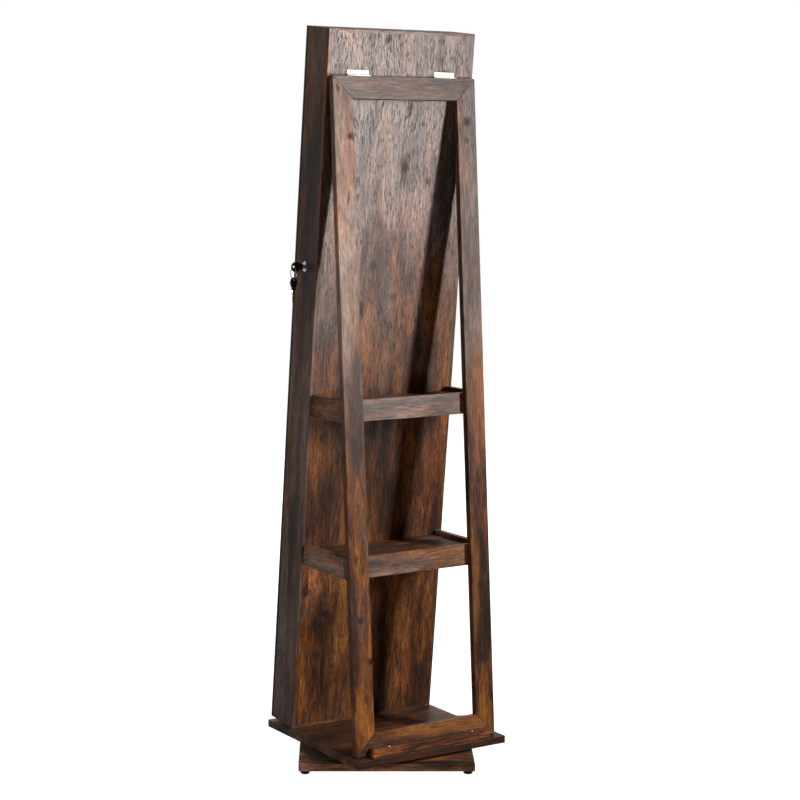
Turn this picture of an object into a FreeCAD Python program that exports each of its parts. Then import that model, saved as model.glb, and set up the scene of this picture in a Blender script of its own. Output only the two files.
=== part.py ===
"""Swivel mirror jewelry cabinet, built piece by piece in millimetres.

The origin is on the floor under the swivel axis, +Z is up, the mirror faces -Y and the open
shelves are on the +Y side.  Three frames are used besides the room's:
the base frame is turned about Z, the case frame leans back with its origin at the middle of
the case's lower rear edge, and the rear frame leans forward with its origin at the middle of
its lower front edge.
"""
import FreeCAD, Part

import os
import re

import Sketcher

Vector = FreeCAD.Vector

LENGTHS = {
    # base board, feet and turntable board
    "base_side": 372.0,
    "deck_side": 376.0,
    "board_thickness": 16.0,
    "board_ease": 1.0,
    "foot_height": 8.0,
    "foot_radius": 10.0,
    "foot_edge_radius": 2.0,
    "foot_inset": 14.0,
    # ball bearing between the two boards
    "bearing_height": 9.4,
    "bearing_lift": 1.0,
    "ball_circle_radius": 75.0,
    "ball_radius": 2.5,
    "ball_clearance": 0.05,
    "race_half_gap": 1.3,
    "race_ring_width": 19.0,
    "cage_thickness": 1.6,
    "access_hole_radius": 8.0,
    # countersunk wood screws of the bearing and of the case's foot
    "screw_radius": 2.0,
    "screw_head_radius": 4.0,
    "screw_head_height": 2.4,
    "bearing_screw_length": 20.0,
    "case_screw_length": 26.0,
    "case_screw_spread": 110.0,
    "case_screw_inset": 14.0,
    # leaning jewelry case
    "case_foot_back": 95.1,
    "case_width": 362.0,
    "case_depth": 84.5,
    "case_length": 1509.0,
    "case_board": 12.0,
    "rabbet_width": 6.0,
    "back_thickness": 5.0,
    "case_ease": 0.8,
    "lining_thickness": 1.5,
    # mirror door
    "door_gap": 1.8,
    "door_profile_width": 14.0,
    "door_ledge": 1.5,
    "door_lip": 3.0,
    "mirror_thickness": 3.0,
    "lip_proud": 0.2,
    "door_panel_thickness": 6.0,
    "door_panel_clearance": 2.5,
    # butt hinges of the door
    "door_hinge_length": 50.0,
    "door_hinge_end": 150.0,
    "door_leaf_width": 13.3,
    "door_leaf_thickness": 0.85,
    "door_knuckle_radius": 2.5,
    "door_knuckle_clearance": 0.3,
    "door_pin_radius": 1.2,
    "pin_clearance": 0.05,
    "pin_head_height": 1.0,
    "pin_head_radius": 2.1,
    "knuckle_gap": 0.3,
    "leaf_notch_clearance": 0.5,
    # cam lock in the side panel
    "lock_height": 1012.0,
    "lock_from_back": 45.7,
    "lock_flange_radius": 11.0,
    "lock_flange_height": 2.5,
    "lock_flange_ease": 0.8,
    "lock_barrel_radius": 9.0,
    "lock_barrel_length": 25.0,
    "lock_nut_height": 4.0,
    "lock_nut_radius": 13.5,
    "plug_radius": 6.0,
    "plug_collar_radius": 7.5,
    "plug_collar_height": 1.5,
    "plug_clearance": 0.05,
    "plug_tail_side": 6.0,
    "cam_length": 30.0,
    "cam_half_width": 5.0,
    "cam_thickness": 2.0,
    "cam_screw_radius": 1.6,
    "cam_screw_depth": 3.5,
    "cam_screw_head_radius": 4.0,
    "cam_screw_head_height": 2.2,
    # hook plate on the door that the cam turns behind
    "keeper_thickness": 1.5,
    "keeper_height": 16.0,
    "keeper_drop": 28.0,
    "keeper_foot": 20.0,
    "keeper_side_gap": 1.8,
    "keeper_reach_gap": 0.7,
    "keeper_lip": 5.3,
    # keys and split ring
    "key_thickness": 2.0,
    "key_half_width": 4.0,
    "key_slot_clearance": 0.1,
    "key_tip_depth": 20.5,
    "key_tang": 5.0,
    "key_tang_half_width": 3.0,
    "key_neck_start": 7.0,
    "key_neck_half_width": 6.0,
    "key_head_radius": 11.0,
    "key_head_thickness": 3.6,
    "key_head_end": 34.0,
    "key_hole_radius": 3.0,
    "key_hole_wall": 2.2,
    "ring_radius": 12.0,
    "ring_wire_radius": 0.9,
    "ring_slack": 0.6,
    # open rear frame
    "frame_hinge_drop": 96.2,
    "frame_foot_reach": 149.4,
    "frame_side_step": 4.3,
    "frame_member": 47.0,
    "frame_thickness": 15.0,
    "frame_ease": 0.8,
    # butt hinges between the frame's top and the case's back
    "frame_hinge_length": 50.0,
    "frame_hinge_spread": 107.0,
    "frame_leaf_width": 10.2,
    "frame_leaf_thickness": 1.0,
    "frame_knuckle_radius": 2.2,
    "frame_pin_radius": 1.1,
    "hinge_screw_radius": 1.4,
    "hinge_screw_length": 5.6,
    "hinge_screw_head_radius": 2.4,
    "hinge_screw_head_height": 1.0,
    "hinge_screw_spread": 16.0,
    # cleat behind the frame's foot
    "cleat_end_gap": 28.7,
    "cleat_depth": 16.0,
    "cleat_height": 18.0,
    "cleat_offset": 4.0,
    "cleat_screw_spread": 106.0,
    "cleat_screw_length": 29.0,
    "dome_head_radius": 3.6,
    "dome_head_height": 2.2,
    # tray shelves between the case and the frame
    "tray_side_step": 1.7,
    "tray_thickness": 12.0,
    "tray_height": 45.0,
    "tray_floor_drop": 10.0,
    "tray_floor_thickness": 5.0,
    "upper_tray_top": 790.5,
    "lower_tray_top": 464.5,
    "batten_depth": 12.0,
    "batten_height": 20.0,
    "tray_screw_length": 15.0,
    "batten_screw_spread": 100.0,
    # fittings inside the case
    "shelf_thickness": 8.0,
    "shelf_depth": 68.0,
    "shelf_lip_height": 22.0,
    "shelf_lip_thickness": 4.0,
    "upper_shelf_rise": 78.0,
    "lower_shelf_drop": 372.0,
    "hook_strip_drop": 84.0,
    "hook_strip_side_gap": 17.5,
    "hook_strip_rise": 24.0,
    "hook_strip_thickness": 5.0,
    "hook_radius": 1.8,
    "hook_reach": 20.0,
    "hook_rise": 7.0,
    "hook_side_inset": 15.0,
    "rack_left": 20.0,
    "rack_side_gap": 27.5,
    "rack_drop": 132.0,
    "rack_height": 175.0,
    "rack_border": 8.0,
    "rack_thickness": 4.0,
    "rack_standoff": 16.0,
    "rack_peg_radius": 3.0,
    "rack_bar_height": 4.0,
    "rack_bar_thickness": 3.0,
    "roll_radius": 11.5,
    "roll_pitch": 22.0,
    "roll_side_gap": 7.5,
    "roll_right": 6.0,
    "roll_base_thickness": 8.0,
    "rod_drop": 212.0,
    "rod_from_back": 44.0,
    "rod_radius": 7.0,
    "rod_cup_radius": 12.0,
    "rod_cup_height": 5.0,
    # small overrun of every cutting tool
    "overrun": 1.0,
}

ANGLES = {
    "case_lean": 5.56,
    "base_turn": 31.56,
    "spare_key_yaw": 27.0,
}

BALL_COUNT = 24
BEARING_SCREW_COUNT = 4
DOOR_HINGE_COUNT = 3
KNUCKLE_COUNT = 5
HOOK_COUNT = 11
ROLL_COUNT = 8
RACK_BAR_COUNT = 6
BITTING_DEPTH_SHARES = (0.25, 0.40, 0.15, 0.45, 0.30)
FULL_TURN = 360.0
HALF_TURN = 180.0
QUARTER_TURN = 90.0

DERIVED = {
    "base_top": "foot_height + board_thickness",
    "deck_bottom": "base_top + bearing_height",
    "deck_top": "deck_bottom + board_thickness",
    "race_height": "bearing_height - bearing_lift",
    "outer_race_inner": "ball_circle_radius + race_half_gap",
    "inner_race_outer": "ball_circle_radius - race_half_gap",
    "ball_level": "base_top + bearing_height/2",
    "case_half": "case_width/2",
    "frame_hinge_height": "case_length - frame_hinge_drop",
    "hook_strip_height": "case_length - hook_strip_drop",
    "upper_shelf_height": "lock_height + upper_shelf_rise",
    "lower_shelf_height": "lock_height - lower_shelf_drop",
    "rod_height": "lock_height - rod_drop",
    "rack_bottom": "lock_height - rack_drop",
    "rack_top": "rack_bottom + rack_height",
    "case_inner": "case_width/2 - case_board",
    "lined_half": "case_inner - lining_thickness",
    "hook_strip_width": "2*(lined_half - hook_strip_side_gap)",
    "rack_right": "lined_half - rack_side_gap",
    "roll_left": "lined_half - roll_side_gap",
    "frame_width": "case_width - 2*frame_side_step",
    "tray_width": "frame_width - 2*tray_side_step",
    "cleat_length": "frame_width - 2*cleat_end_gap",
    "lined_back": "back_thickness + lining_thickness",
    "lined_floor": "case_board + lining_thickness",
    "lined_top": "case_length - case_board - lining_thickness",
    "door_back": "case_depth + door_gap",
    "glass_back": "door_back + door_ledge",
    "glass_front": "glass_back + mirror_thickness",
    "door_front": "glass_front + lip_proud",
    "door_axis_x": "case_half + door_knuckle_radius + door_knuckle_clearance",
    "door_axis_y": "case_depth + door_gap/2",
    "hinge_step": "(case_length - 2*door_hinge_end)/2",
    "cam_outer_x": "case_half - lock_barrel_length - plug_clearance*4",
    "cam_inner_x": "cam_outer_x - cam_thickness",
    "hinge_y": "frame_hinge_height*sin(case_lean) - case_foot_back",
    "hinge_z": "frame_hinge_height*cos(case_lean)",
    "frame_lean": "atan2(frame_foot_reach - hinge_y; hinge_z)",
    "frame_length": "hypot(frame_foot_reach - hinge_y; hinge_z)",
    "frame_half": "frame_width/2",
    "frame_inner": "frame_width/2 - frame_member",
    "fold_angle": "case_lean*1 deg + frame_lean",
    "corner_step": "frame_knuckle_radius*(1 + sin(fold_angle))/cos(fold_angle)",
    "frame_rear_foot": "frame_foot_reach + frame_thickness/cos(frame_lean)",
    "hole_reach": "key_head_end - key_hole_radius - key_hole_wall",
    "key_hole_y": "lock_height*sin(case_lean) - lock_from_back*cos(case_lean) - case_foot_back",
    "key_hole_z": "deck_top + lock_height*cos(case_lean) + lock_from_back*sin(case_lean)",
    "ring_hang": "key_hole_radius - ring_wire_radius - ring_slack",
    "ring_level": "key_hole_z - ring_hang - ring_radius",
    "spare_level": "ring_level - ring_radius - ring_hang",
}
ANGLE_NAMES = ("frame_lean", "fold_angle")

doc = FreeCAD.newDocument("SwivelMirrorCabinet")
nodes = {}


def fill_sheet():
    """Write every driving length and angle into the sheet, one alias each."""
    sheet = doc.addObject("Spreadsheet::Sheet", "Dims")
    for row, (name, value) in enumerate({**LENGTHS, **ANGLES}.items(), start=1):
        cell = "B%d" % row
        sheet.set("A%d" % row, name)
        sheet.set(cell, str(value))
        sheet.setAlias(cell, name)
    doc.recompute()


def bound(text):
    """Point each size name in an expression at the sheet or at the derived values."""
    def owner(match):
        name = match.group()
        if name in DERIVED:
            return "Derived." + name
        if name in LENGTHS or name in ANGLES:
            return "Dims." + name
        return name
    return re.sub(r"[a-z][a-z_]*", owner, text)


def fill_derived():
    """Work out the values that several pieces share."""
    values = doc.addObject("App::VarSet", "Derived")
    for name in DERIVED:
        kind = "App::PropertyAngle" if name in ANGLE_NAMES else "App::PropertyFloat"
        values.addProperty(kind, name, "Shared")
    for name, text in DERIVED.items():
        values.setExpression(name, bound(text))
    doc.recompute()
    return values


fill_sheet()
derived = fill_derived()


def number(text):
    """The present value of an expression, as a plain number."""
    value = derived.evalExpression(bound(text))
    return float(getattr(value, "Value", value))


# Placing

TURN_TO = {
    "Z": None,
    "X": (Vector(0, 1, 0), "90"),
    "-X": (Vector(0, 1, 0), "-90"),
    "Y": (Vector(1, 0, 0), "-90"),
    "-Y": (Vector(1, 0, 0), "90"),
    "-Z": (Vector(1, 0, 0), "180"),
}


def place(obj, x="0", y="0", z="0", turn=None):
    """Bind an object's place, and its turn about one axis, to the sheet."""
    if turn:
        axis, angle = turn
        obj.Placement = FreeCAD.Placement(Vector(), FreeCAD.Rotation(axis, QUARTER_TURN))
        obj.setExpression("Placement.Rotation.Angle", bound(angle))
    for letter, text in (("x", x), ("y", y), ("z", z)):
        if text != "0":
            obj.setExpression("Placement.Base." + letter, bound(text))
    return obj


def on_base(obj):
    """Place a piece of the base, which is turned against the cabinet."""
    return place(obj, turn=(Vector(0, 0, 1), "-base_turn"))


def in_case(obj):
    """Place a piece that is drawn in the leaning case's own frame."""
    return place(obj, y="-case_foot_back", z="deck_top", turn=(Vector(1, 0, 0), "-case_lean"))


def in_frame(obj):
    """Place a piece that is drawn in the rear frame's own frame."""
    return place(obj, y="frame_foot_reach", z="deck_top", turn=(Vector(1, 0, 0), "frame_lean"))


def node(name, obj):
    """Give an object the name of the sub-part that it is."""
    obj.Label = name
    nodes[name] = obj
    return obj


# Simple solids and their combinations

def block(name, x, y, z):
    """A box between two expressions along each axis."""
    obj = doc.addObject("Part::Box", name)
    for size, (low, high) in zip(("Length", "Width", "Height"), (x, y, z)):
        obj.setExpression(size, bound("(%s) - (%s)" % (high, low)))
    return place(obj, x[0], y[0], z[0])


def cylinder(name, radius, length, x="0", y="0", z="0", along="Z"):
    """A round bar that starts at a point and runs along one axis."""
    obj = doc.addObject("Part::Cylinder", name)
    obj.setExpression("Radius", bound(radius))
    obj.setExpression("Height", bound(length))
    return place(obj, x, y, z, TURN_TO[along])


def cone(name, low_radius, high_radius, height, z="0"):
    """A cone on the Z axis, from its lower to its upper radius."""
    obj = doc.addObject("Part::Cone", name)
    obj.setExpression("Radius1", bound(low_radius))
    obj.setExpression("Radius2", bound(high_radius))
    obj.setExpression("Height", bound(height))
    return place(obj, z=z)


def dome(name, radius, height):
    """The upper half of an ellipsoid on the Z axis."""
    obj = doc.addObject("Part::Ellipsoid", name)
    obj.setExpression("Radius1", bound(height))
    obj.setExpression("Radius2", bound(radius))
    obj.setExpression("Radius3", bound(radius))
    obj.Angle1 = 0
    obj.Angle2 = QUARTER_TURN
    return obj


def torus(name, radius, wire, z="0", **where):
    """A ring of round wire."""
    obj = doc.addObject("Part::Torus", name)
    obj.setExpression("Radius1", bound(radius))
    obj.setExpression("Radius2", bound(wire))
    return place(obj, z=z, **where)


def fuse(name, pieces):
    obj = doc.addObject("Part::MultiFuse", name)
    obj.Shapes = pieces
    return obj


def cut(name, base, tools):
    """Take several tools from one solid."""
    for count, tool in enumerate(tools):
        step = doc.addObject("Part::Cut", "%s_cut%d" % (name, count))
        step.Base = base
        step.Tool = tool
        base = step
    return base


def compound(name, pieces):
    obj = doc.addObject("Part::Compound", name)
    obj.Links = pieces
    return obj


def copies(name, master, places):
    """The same solid at several places, as one group of separate solids."""
    links = []
    for count, where in enumerate(places):
        copy = doc.addObject("App::Link", "%s_copy%d" % (name, count))
        copy.LinkedObject = master
        links.append(place(copy, **where))
    return compound(name, links)


# Drawn solids

def origin_plane(body, role):
    return next(item for item in body.Origin.OriginFeatures if item.Role == role)


def sketch_on(body, role, offset):
    """An empty sketch on one of the body's origin planes, moved along the plane's normal."""
    sketch = body.newObject("Sketcher::SketchObject", body.Name + "_sketch")
    sketch.AttachmentSupport = (origin_plane(body, role), [""])
    sketch.MapMode = "FlatFace"
    if offset != "0":
        sketch.setExpression("AttachmentOffset.Base.z", bound(offset))
    return sketch


def bind_point(sketch, geometry, vertex, across, up):
    """Fix one point of a sketch to its two expressions."""
    for kind, text in (("DistanceX", across), ("DistanceY", up)):
        constraint = Sketcher.Constraint(kind, -1, 1, geometry, vertex, number(text))
        index = sketch.addConstraint(constraint)
        sketch.setExpression("Constraints[%d]" % index, bound(text))


def draw_outline(sketch, points):
    """A closed outline of straight lines through points given as expressions."""
    spots = [Vector(number(across), number(up), 0) for across, up in points]
    for index, spot in enumerate(spots):
        sketch.addGeometry(Part.LineSegment(spot, spots[(index + 1) % len(spots)]), False)
    for index in range(len(spots)):
        following = (index + 1) % len(spots)
        sketch.addConstraint(Sketcher.Constraint("Coincident", index, 2, following, 1))
    for index, (across, up) in enumerate(points):
        bind_point(sketch, index, 1, across, up)


def slab(name, role, start, thickness, points, ease=None):
    """A board drawn as an outline and given its thickness along the plane's own axis.

    It fills start to start + thickness along +Z, +Y or +X; ease rounds all its edges.
    """
    body = doc.addObject("PartDesign::Body", name)
    offset = start if role != "XZ_Plane" else "-(%s) - (%s)" % (start, thickness)
    sketch = sketch_on(body, role, offset)
    draw_outline(sketch, points)
    pad = body.newObject("PartDesign::Pad", name + "_pad")
    pad.Profile = sketch
    pad.setExpression("Length", bound(thickness))
    if ease:
        doc.recompute()
        fillet = body.newObject("PartDesign::Fillet", name + "_ease")
        fillet.Base = (pad, [""])
        fillet.UseAllEdges = True
        fillet.setExpression("Radius", bound(ease))
    return body


def turned(name, points):
    """A solid of revolution about Z; each point is a radius and a height."""
    body = doc.addObject("PartDesign::Body", name)
    sketch = sketch_on(body, "XZ_Plane", "0")
    draw_outline(sketch, points)
    spin = body.newObject("PartDesign::Revolution", name + "_spin")
    spin.Profile = sketch
    spin.ReferenceAxis = (sketch, ["V_Axis"])
    spin.Angle = FULL_TURN
    return body


def rectangle(left, right, low, high):
    return [(left, low), (right, low), (right, high), (left, high)]


def countersunk_screw(name, length):
    """A wood screw whose flat head faces up at the origin."""
    shank = cylinder(name + "_shank", "screw_radius", length, z="-(%s)" % length)
    head = cone(name + "_head", "screw_radius", "screw_head_radius", "screw_head_height",
                "-screw_head_height")
    return fuse(name, [shank, head])


def domed_screw(name, radius, length, head_radius, head_height):
    """A screw whose domed head stands on the origin."""
    shank = cylinder(name + "_shank", radius, length, z="-(%s)" % length)
    return fuse(name, [shank, dome(name + "_head", head_radius, head_height)])


def around(radius, level, count, first_share=0.0, along="Z"):
    """Places evenly spaced on a circle about the swivel axis."""
    spots = []
    for index in range(count):
        angle = FULL_TURN*(index + first_share)/count
        spots.append({"x": "(%s)*cos(%r)" % (radius, angle),
                      "y": "(%s)*sin(%r)" % (radius, angle),
                      "z": level, "turn": TURN_TO[along]})
    return spots


# Base: feet, lower board and the bearing's fixed ring

def make_base():
    foot = turned("foot", [("0", "0"), ("foot_radius - foot_edge_radius", "0"),
                           ("foot_radius", "foot_edge_radius"), ("foot_radius", "foot_height"),
                           ("0", "foot_height")])
    reach = "base_side/2 - foot_inset"
    corners = [{"x": "%s(%s)" % (a, reach), "y": "%s(%s)" % (b, reach)} for a in ("", "-")
               for b in ("", "-")]
    node("base_feet", on_base(copies("feet", foot, corners)))

    screw = countersunk_screw("bearing_screw", "bearing_screw_length")
    race_middle = "outer_race_inner + race_ring_width/2"
    spots = around(race_middle, "base_top + race_height", BEARING_SCREW_COUNT, 0.5)
    screws = node("bearing_base_screws", on_base(copies("base_screws", screw, spots)))

    half = "base_side/2"
    board = on_base(slab("base_blank", "XY_Plane", "foot_height", "board_thickness",
                         rectangle("-" + half, half, "-" + half, half), "board_ease"))
    access = cylinder("access_hole", "access_hole_radius", "board_thickness + 2*overrun",
                      x="inner_race_outer - race_ring_width/2", z="foot_height - overrun")
    node("base_board", cut("base_board", board, [on_base(compound("access", [access])), screws]))

    ring = cylinder("outer_race_disc", "outer_race_inner + race_ring_width", "race_height",
                    z="base_top")
    bore = cylinder("outer_race_bore", "outer_race_inner", "race_height + 2*overrun",
                    z="base_top - overrun")
    node("bearing_outer_ring", cut("outer_race", ring, [bore, ball_groove("outer"), screws]))
    return screw


def ball_groove(name):
    """The round track that the balls run in."""
    return torus(name + "_groove", "ball_circle_radius", "ball_radius + ball_clearance",
                 "ball_level")


def make_ball_race():
    """The balls and the cage that spaces them."""
    ball = doc.addObject("Part::Sphere", "ball")
    ball.setExpression("Radius", bound("ball_radius"))
    node("bearing_balls", copies("balls", ball, around("ball_circle_radius", "ball_level",
                                                       BALL_COUNT)))
    low = "base_top + bearing_lift + ball_clearance"
    high = "base_top + race_height - ball_clearance"
    wall = cylinder("cage_wall", "ball_circle_radius + cage_thickness/2",
                    "(%s) - (%s)" % (high, low), z=low)
    bore = cylinder("cage_bore", "ball_circle_radius - cage_thickness/2", "bearing_height", z=low)
    pocket = compound("cage_pocket", [
        cylinder("pocket_drill", "ball_radius + ball_clearance", "2*cage_thickness",
                 "ball_circle_radius - cage_thickness", along="X")])
    spots = [{"z": "ball_level", "turn": (Vector(0, 0, 1), "%r" % (FULL_TURN*index/BALL_COUNT))}
             for index in range(BALL_COUNT)]
    pockets = copies("cage_pockets", pocket, spots)
    node("bearing_cage", cut("cage", wall, [bore, pockets]))


def make_deck(screw):
    """The turntable board and the bearing's moving ring."""
    race_middle = "inner_race_outer - race_ring_width/2"
    spots = around(race_middle, "base_top + bearing_lift", BEARING_SCREW_COUNT, 0.5, "-Z")
    screws = node("bearing_top_screws", copies("deck_screws", screw, spots))

    level = "base_top + bearing_lift"
    ring = cylinder("inner_race_disc", "inner_race_outer", "race_height", z=level)
    bore = cylinder("inner_race_bore", "inner_race_outer - race_ring_width",
                    "race_height + 2*overrun", z=level + " - overrun")
    node("bearing_inner_ring", cut("inner_race", ring, [bore, ball_groove("inner"), screws]))

    foot_screw = countersunk_screw("case_screw", "case_screw_length")
    spots = [{"x": side + "case_screw_spread", "y": "-case_foot_back - case_screw_inset",
              "z": "deck_bottom", "turn": TURN_TO["-Z"]} for side in ("", "-")]
    case_screws = node("case_foot_screws", copies("case_screws", foot_screw, spots))

    half = "deck_side/2"
    board = slab("deck_blank", "XY_Plane", "deck_bottom", "board_thickness",
                 rectangle("-" + half, half, "-" + half, half), "board_ease")
    cleat_screws = make_cleat()
    node("turntable_board", cut("deck", board, [screws, case_screws, cleat_screws]))
    return case_screws


# Jewelry case

def make_case_sides():
    """Two full-length side boards, rabbeted for the back panel."""
    sides = {}
    for name, sign in (("lock", ""), ("hinge", "-")):
        low, high = sorted((sign + "case_inner", sign + "case_half"), key=number)
        board = slab("side_" + name, "XY_Plane", "0", "case_length",
                     rectangle(low, high, "-case_depth", "0"), "case_ease")
        low, high = sorted((sign + "(case_inner - overrun)",
                            sign + "(case_inner + rabbet_width)"), key=number)
        rabbet = block("side_rabbet_" + name, (low, high), ("-back_thickness", "overrun"),
                       ("rabbet_width", "case_length - rabbet_width"))
        sides[name] = (board, rabbet)
    board, rabbet = sides["hinge"]
    node("case_side_hinge", in_case(cut("side_hinge", board, [rabbet])))
    board, rabbet = sides["lock"]
    hole = cylinder("lock_hole", "lock_barrel_radius", "case_board + 2*overrun",
                    "case_inner - overrun", "-lock_from_back", "lock_height", "X")
    node("case_side_lock", in_case(cut("side_lock", board, [rabbet, hole])))


def make_case_ends(case_screws):
    """Top and bottom boards between the sides."""
    ends = {"top": ("case_length - case_board", "case_length - case_board - overrun",
                    "case_length - rabbet_width"),
            "bottom": ("0", "rabbet_width", "case_board + overrun")}
    for name, (start, rabbet_low, rabbet_high) in ends.items():
        board = slab("end_" + name, "XY_Plane", start, "case_board",
                     rectangle("-case_inner", "case_inner", "-case_depth", "0"), "case_ease")
        rabbet = block("end_rabbet_" + name, ("-case_half", "case_half"),
                       ("-back_thickness", "overrun"), (rabbet_low, rabbet_high))
        piece = in_case(cut("end_" + name, board, [rabbet]))
        if name == "bottom":
            piece = cut("end_screwed", piece, [case_screws])
        node("case_" + name, piece)


def make_case_back(screws):
    half = "case_inner + rabbet_width"
    board = in_case(slab("back_blank", "XZ_Plane", "-back_thickness", "back_thickness",
                         rectangle("-(%s)" % half, half, "rabbet_width",
                                   "case_length - rabbet_width")))
    node("case_back", cut("back", board, screws))


def make_case_lining():
    """Velvet-covered card on the five inner faces, with a hole round the lock's nut."""
    front = "-case_depth"
    back = block("lining_back", ("-case_inner", "case_inner"),
                 ("-lined_back", "-back_thickness"), ("case_board", "case_length - case_board"))
    side = block("lining_lock", ("lined_half", "case_inner"), (front, "-lined_back"),
                 ("case_board", "case_length - case_board"))
    hole = cylinder("lining_hole", "lock_nut_radius + overrun", "lining_thickness + 2*overrun",
                    "lined_half - overrun", "-lock_from_back", "lock_height", "X")
    other = block("lining_hinge", ("-case_inner", "-lined_half"), (front, "-lined_back"),
                  ("case_board", "case_length - case_board"))
    floor = block("lining_floor", ("-lined_half", "lined_half"), (front, "-lined_back"),
                  ("case_board", "lined_floor"))
    roof = block("lining_roof", ("-lined_half", "lined_half"), (front, "-lined_back"),
                 ("lined_top", "case_length - case_board"))
    side = cut("lining_lock_side", side, [hole])
    node("case_lining", in_case(compound("lining", [back, side, other, floor, roof])))


# Fittings inside the case

def make_inner_shelf(name, height):
    """A moulded shelf with a raised front lip."""
    front = "-(lined_back + shelf_depth)"
    points = [("-lined_back", height), ("-lined_back", "%s + shelf_thickness" % height),
              (front + " + shelf_lip_thickness", "%s + shelf_thickness" % height),
              (front + " + shelf_lip_thickness", "%s + shelf_lip_height" % height),
              (front, "%s + shelf_lip_height" % height), (front, height)]
    node(name, in_case(slab(name, "YZ_Plane", "-lined_half", "2*lined_half", points)))


def make_hook_strip():
    """One moulded strip with a row of upturned hooks."""
    half = "hook_strip_width/2"
    face = "-(lined_back + hook_strip_thickness)"
    strip = block("hook_plate", ("-" + half, half), (face, "-lined_back"),
                  ("hook_strip_height", "hook_strip_height + hook_strip_rise"))
    pieces = [strip]
    step = "(hook_strip_width - 2*hook_side_inset)/%d" % (HOOK_COUNT - 1)
    for index in range(HOOK_COUNT):
        x = "-%s + hook_side_inset + %d*%s" % (half, index, step)
        level = "hook_strip_height + hook_strip_rise/2"
        tip = face + " - hook_reach"
        pieces.append(cylinder("hook_arm%d" % index, "hook_radius", "hook_reach + overrun", x,
                               face + " + overrun", level, "-Y"))
        pieces.append(cylinder("hook_tip%d" % index, "hook_radius", "hook_rise", x, tip, level))
        ball = doc.addObject("Part::Sphere", "hook_ball%d" % index)
        ball.setExpression("Radius", bound("hook_radius"))
        pieces.append(place(ball, x, tip, level))
    node("necklace_hook_strip", in_case(fuse("hook_strip", pieces)))


def make_earring_rack():
    """A flat frame with bars, held off the lining on four pegs."""
    back = "-(lined_back + rack_standoff)"
    face = back + " - rack_thickness"
    plate = block("rack_plate", ("rack_left", "rack_right"), (face, back),
                  ("rack_bottom", "rack_top"))
    window = block("rack_window", ("rack_left + rack_border", "rack_right - rack_border"),
                   (face + " - overrun", back + " + overrun"),
                   ("rack_bottom + rack_border", "rack_top - rack_border"))
    pieces = [cut("rack_rim", plate, [window])]
    step = "(rack_top - rack_bottom - 2*rack_border)/%d" % (RACK_BAR_COUNT + 1)
    for index in range(1, RACK_BAR_COUNT + 1):
        low = "rack_bottom + rack_border + %d*%s - rack_bar_height/2" % (index, step)
        pieces.append(block("rack_bar%d" % index,
                            ("rack_left + rack_border/2", "rack_right - rack_border/2"),
                            (face, face + " + rack_bar_thickness"),
                            (low, low + " + rack_bar_height")))
    for index, x in enumerate(("rack_left + rack_border/2", "rack_right - rack_border/2")):
        for other, z in enumerate(("rack_bottom + rack_border/2", "rack_top - rack_border/2")):
            pieces.append(cylinder("rack_peg%d%d" % (index, other), "rack_peg_radius",
                                   "rack_standoff + rack_thickness/2", x, "-lined_back", z, "-Y"))
    node("earring_rack", in_case(fuse("rack", pieces)))


def make_ring_cushion():
    """A padded board with a stack of soft rolls that grip rings between them."""
    top = "rack_bottom + %d*roll_pitch + 2*roll_radius" % (ROLL_COUNT - 1)
    core = "-(lined_back + roll_base_thickness)"
    pieces = [block("roll_board", ("-roll_left", "-roll_right"), (core, "-lined_back"),
                    ("rack_bottom", top))]
    for index in range(ROLL_COUNT):
        pieces.append(cylinder("roll%d" % index, "roll_radius", "roll_left - roll_right",
                               "-roll_left", core, "rack_bottom + roll_radius + %d*roll_pitch"
                               % index, "X"))
    trim = block("roll_trim", ("-case_half", "case_half"), ("-lined_back", "0"),
                 ("0", "case_length"))
    node("ring_cushion", in_case(cut("ring_cushion", fuse("rolls", pieces), [trim])))


def make_bracelet_rod():
    """A tube across the case with a cup at each end."""
    length = "2*lined_half"
    rod = turned("rod", [("0", "0"), ("rod_cup_radius", "0"), ("rod_cup_radius", "rod_cup_height"),
                         ("rod_radius", "rod_cup_height"),
                         ("rod_radius", length + " - rod_cup_height"),
                         ("rod_cup_radius", length + " - rod_cup_height"),
                         ("rod_cup_radius", length), ("0", length)])
    spot = {"x": "-lined_half", "y": "-rod_from_back", "z": "rod_height", "turn": TURN_TO["X"]}
    node("bracelet_rod", in_case(copies("bracelet_rods", rod, [spot])))


# Mirror door

def make_door_frame():
    """Four mitred profiles with an outer lip round the glass."""
    half, inner = "case_half", "case_half - door_profile_width"
    low, high = "door_profile_width", "case_length - door_profile_width"
    depth = "door_ledge + mirror_thickness + lip_proud"
    lip_half = "case_half - door_lip"
    outlines = {
        "door_stile_lock": [(half, "0"), (half, "case_length"), (inner, high), (inner, low)],
        "door_stile_hinge": [("-" + half, "0"), ("-" + half, "case_length"),
                             ("-(%s)" % inner, high), ("-(%s)" % inner, low)],
        "door_rail_top": [("-" + half, "case_length"), (half, "case_length"), (inner, high),
                          ("-(%s)" % inner, high)],
        "door_rail_bottom": [("-" + half, "0"), (half, "0"), (inner, low),
                             ("-(%s)" % inner, low)],
    }
    rebate = block("glass_rebate", ("-(%s)" % lip_half, lip_half),
                   ("-door_front - overrun", "-glass_back"),
                   ("door_lip", "case_length - door_lip"))
    for name, points in outlines.items():
        blank = slab(name, "XZ_Plane", "-door_front", depth, points)
        node(name, in_case(cut(name, blank, [rebate])))
    glass = block("glass", ("-(%s)" % lip_half, lip_half), ("-glass_front", "-glass_back"),
                  ("door_lip", "case_length - door_lip"))
    node("mirror_glass", in_case(compound("glass_seat", [glass])))


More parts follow.
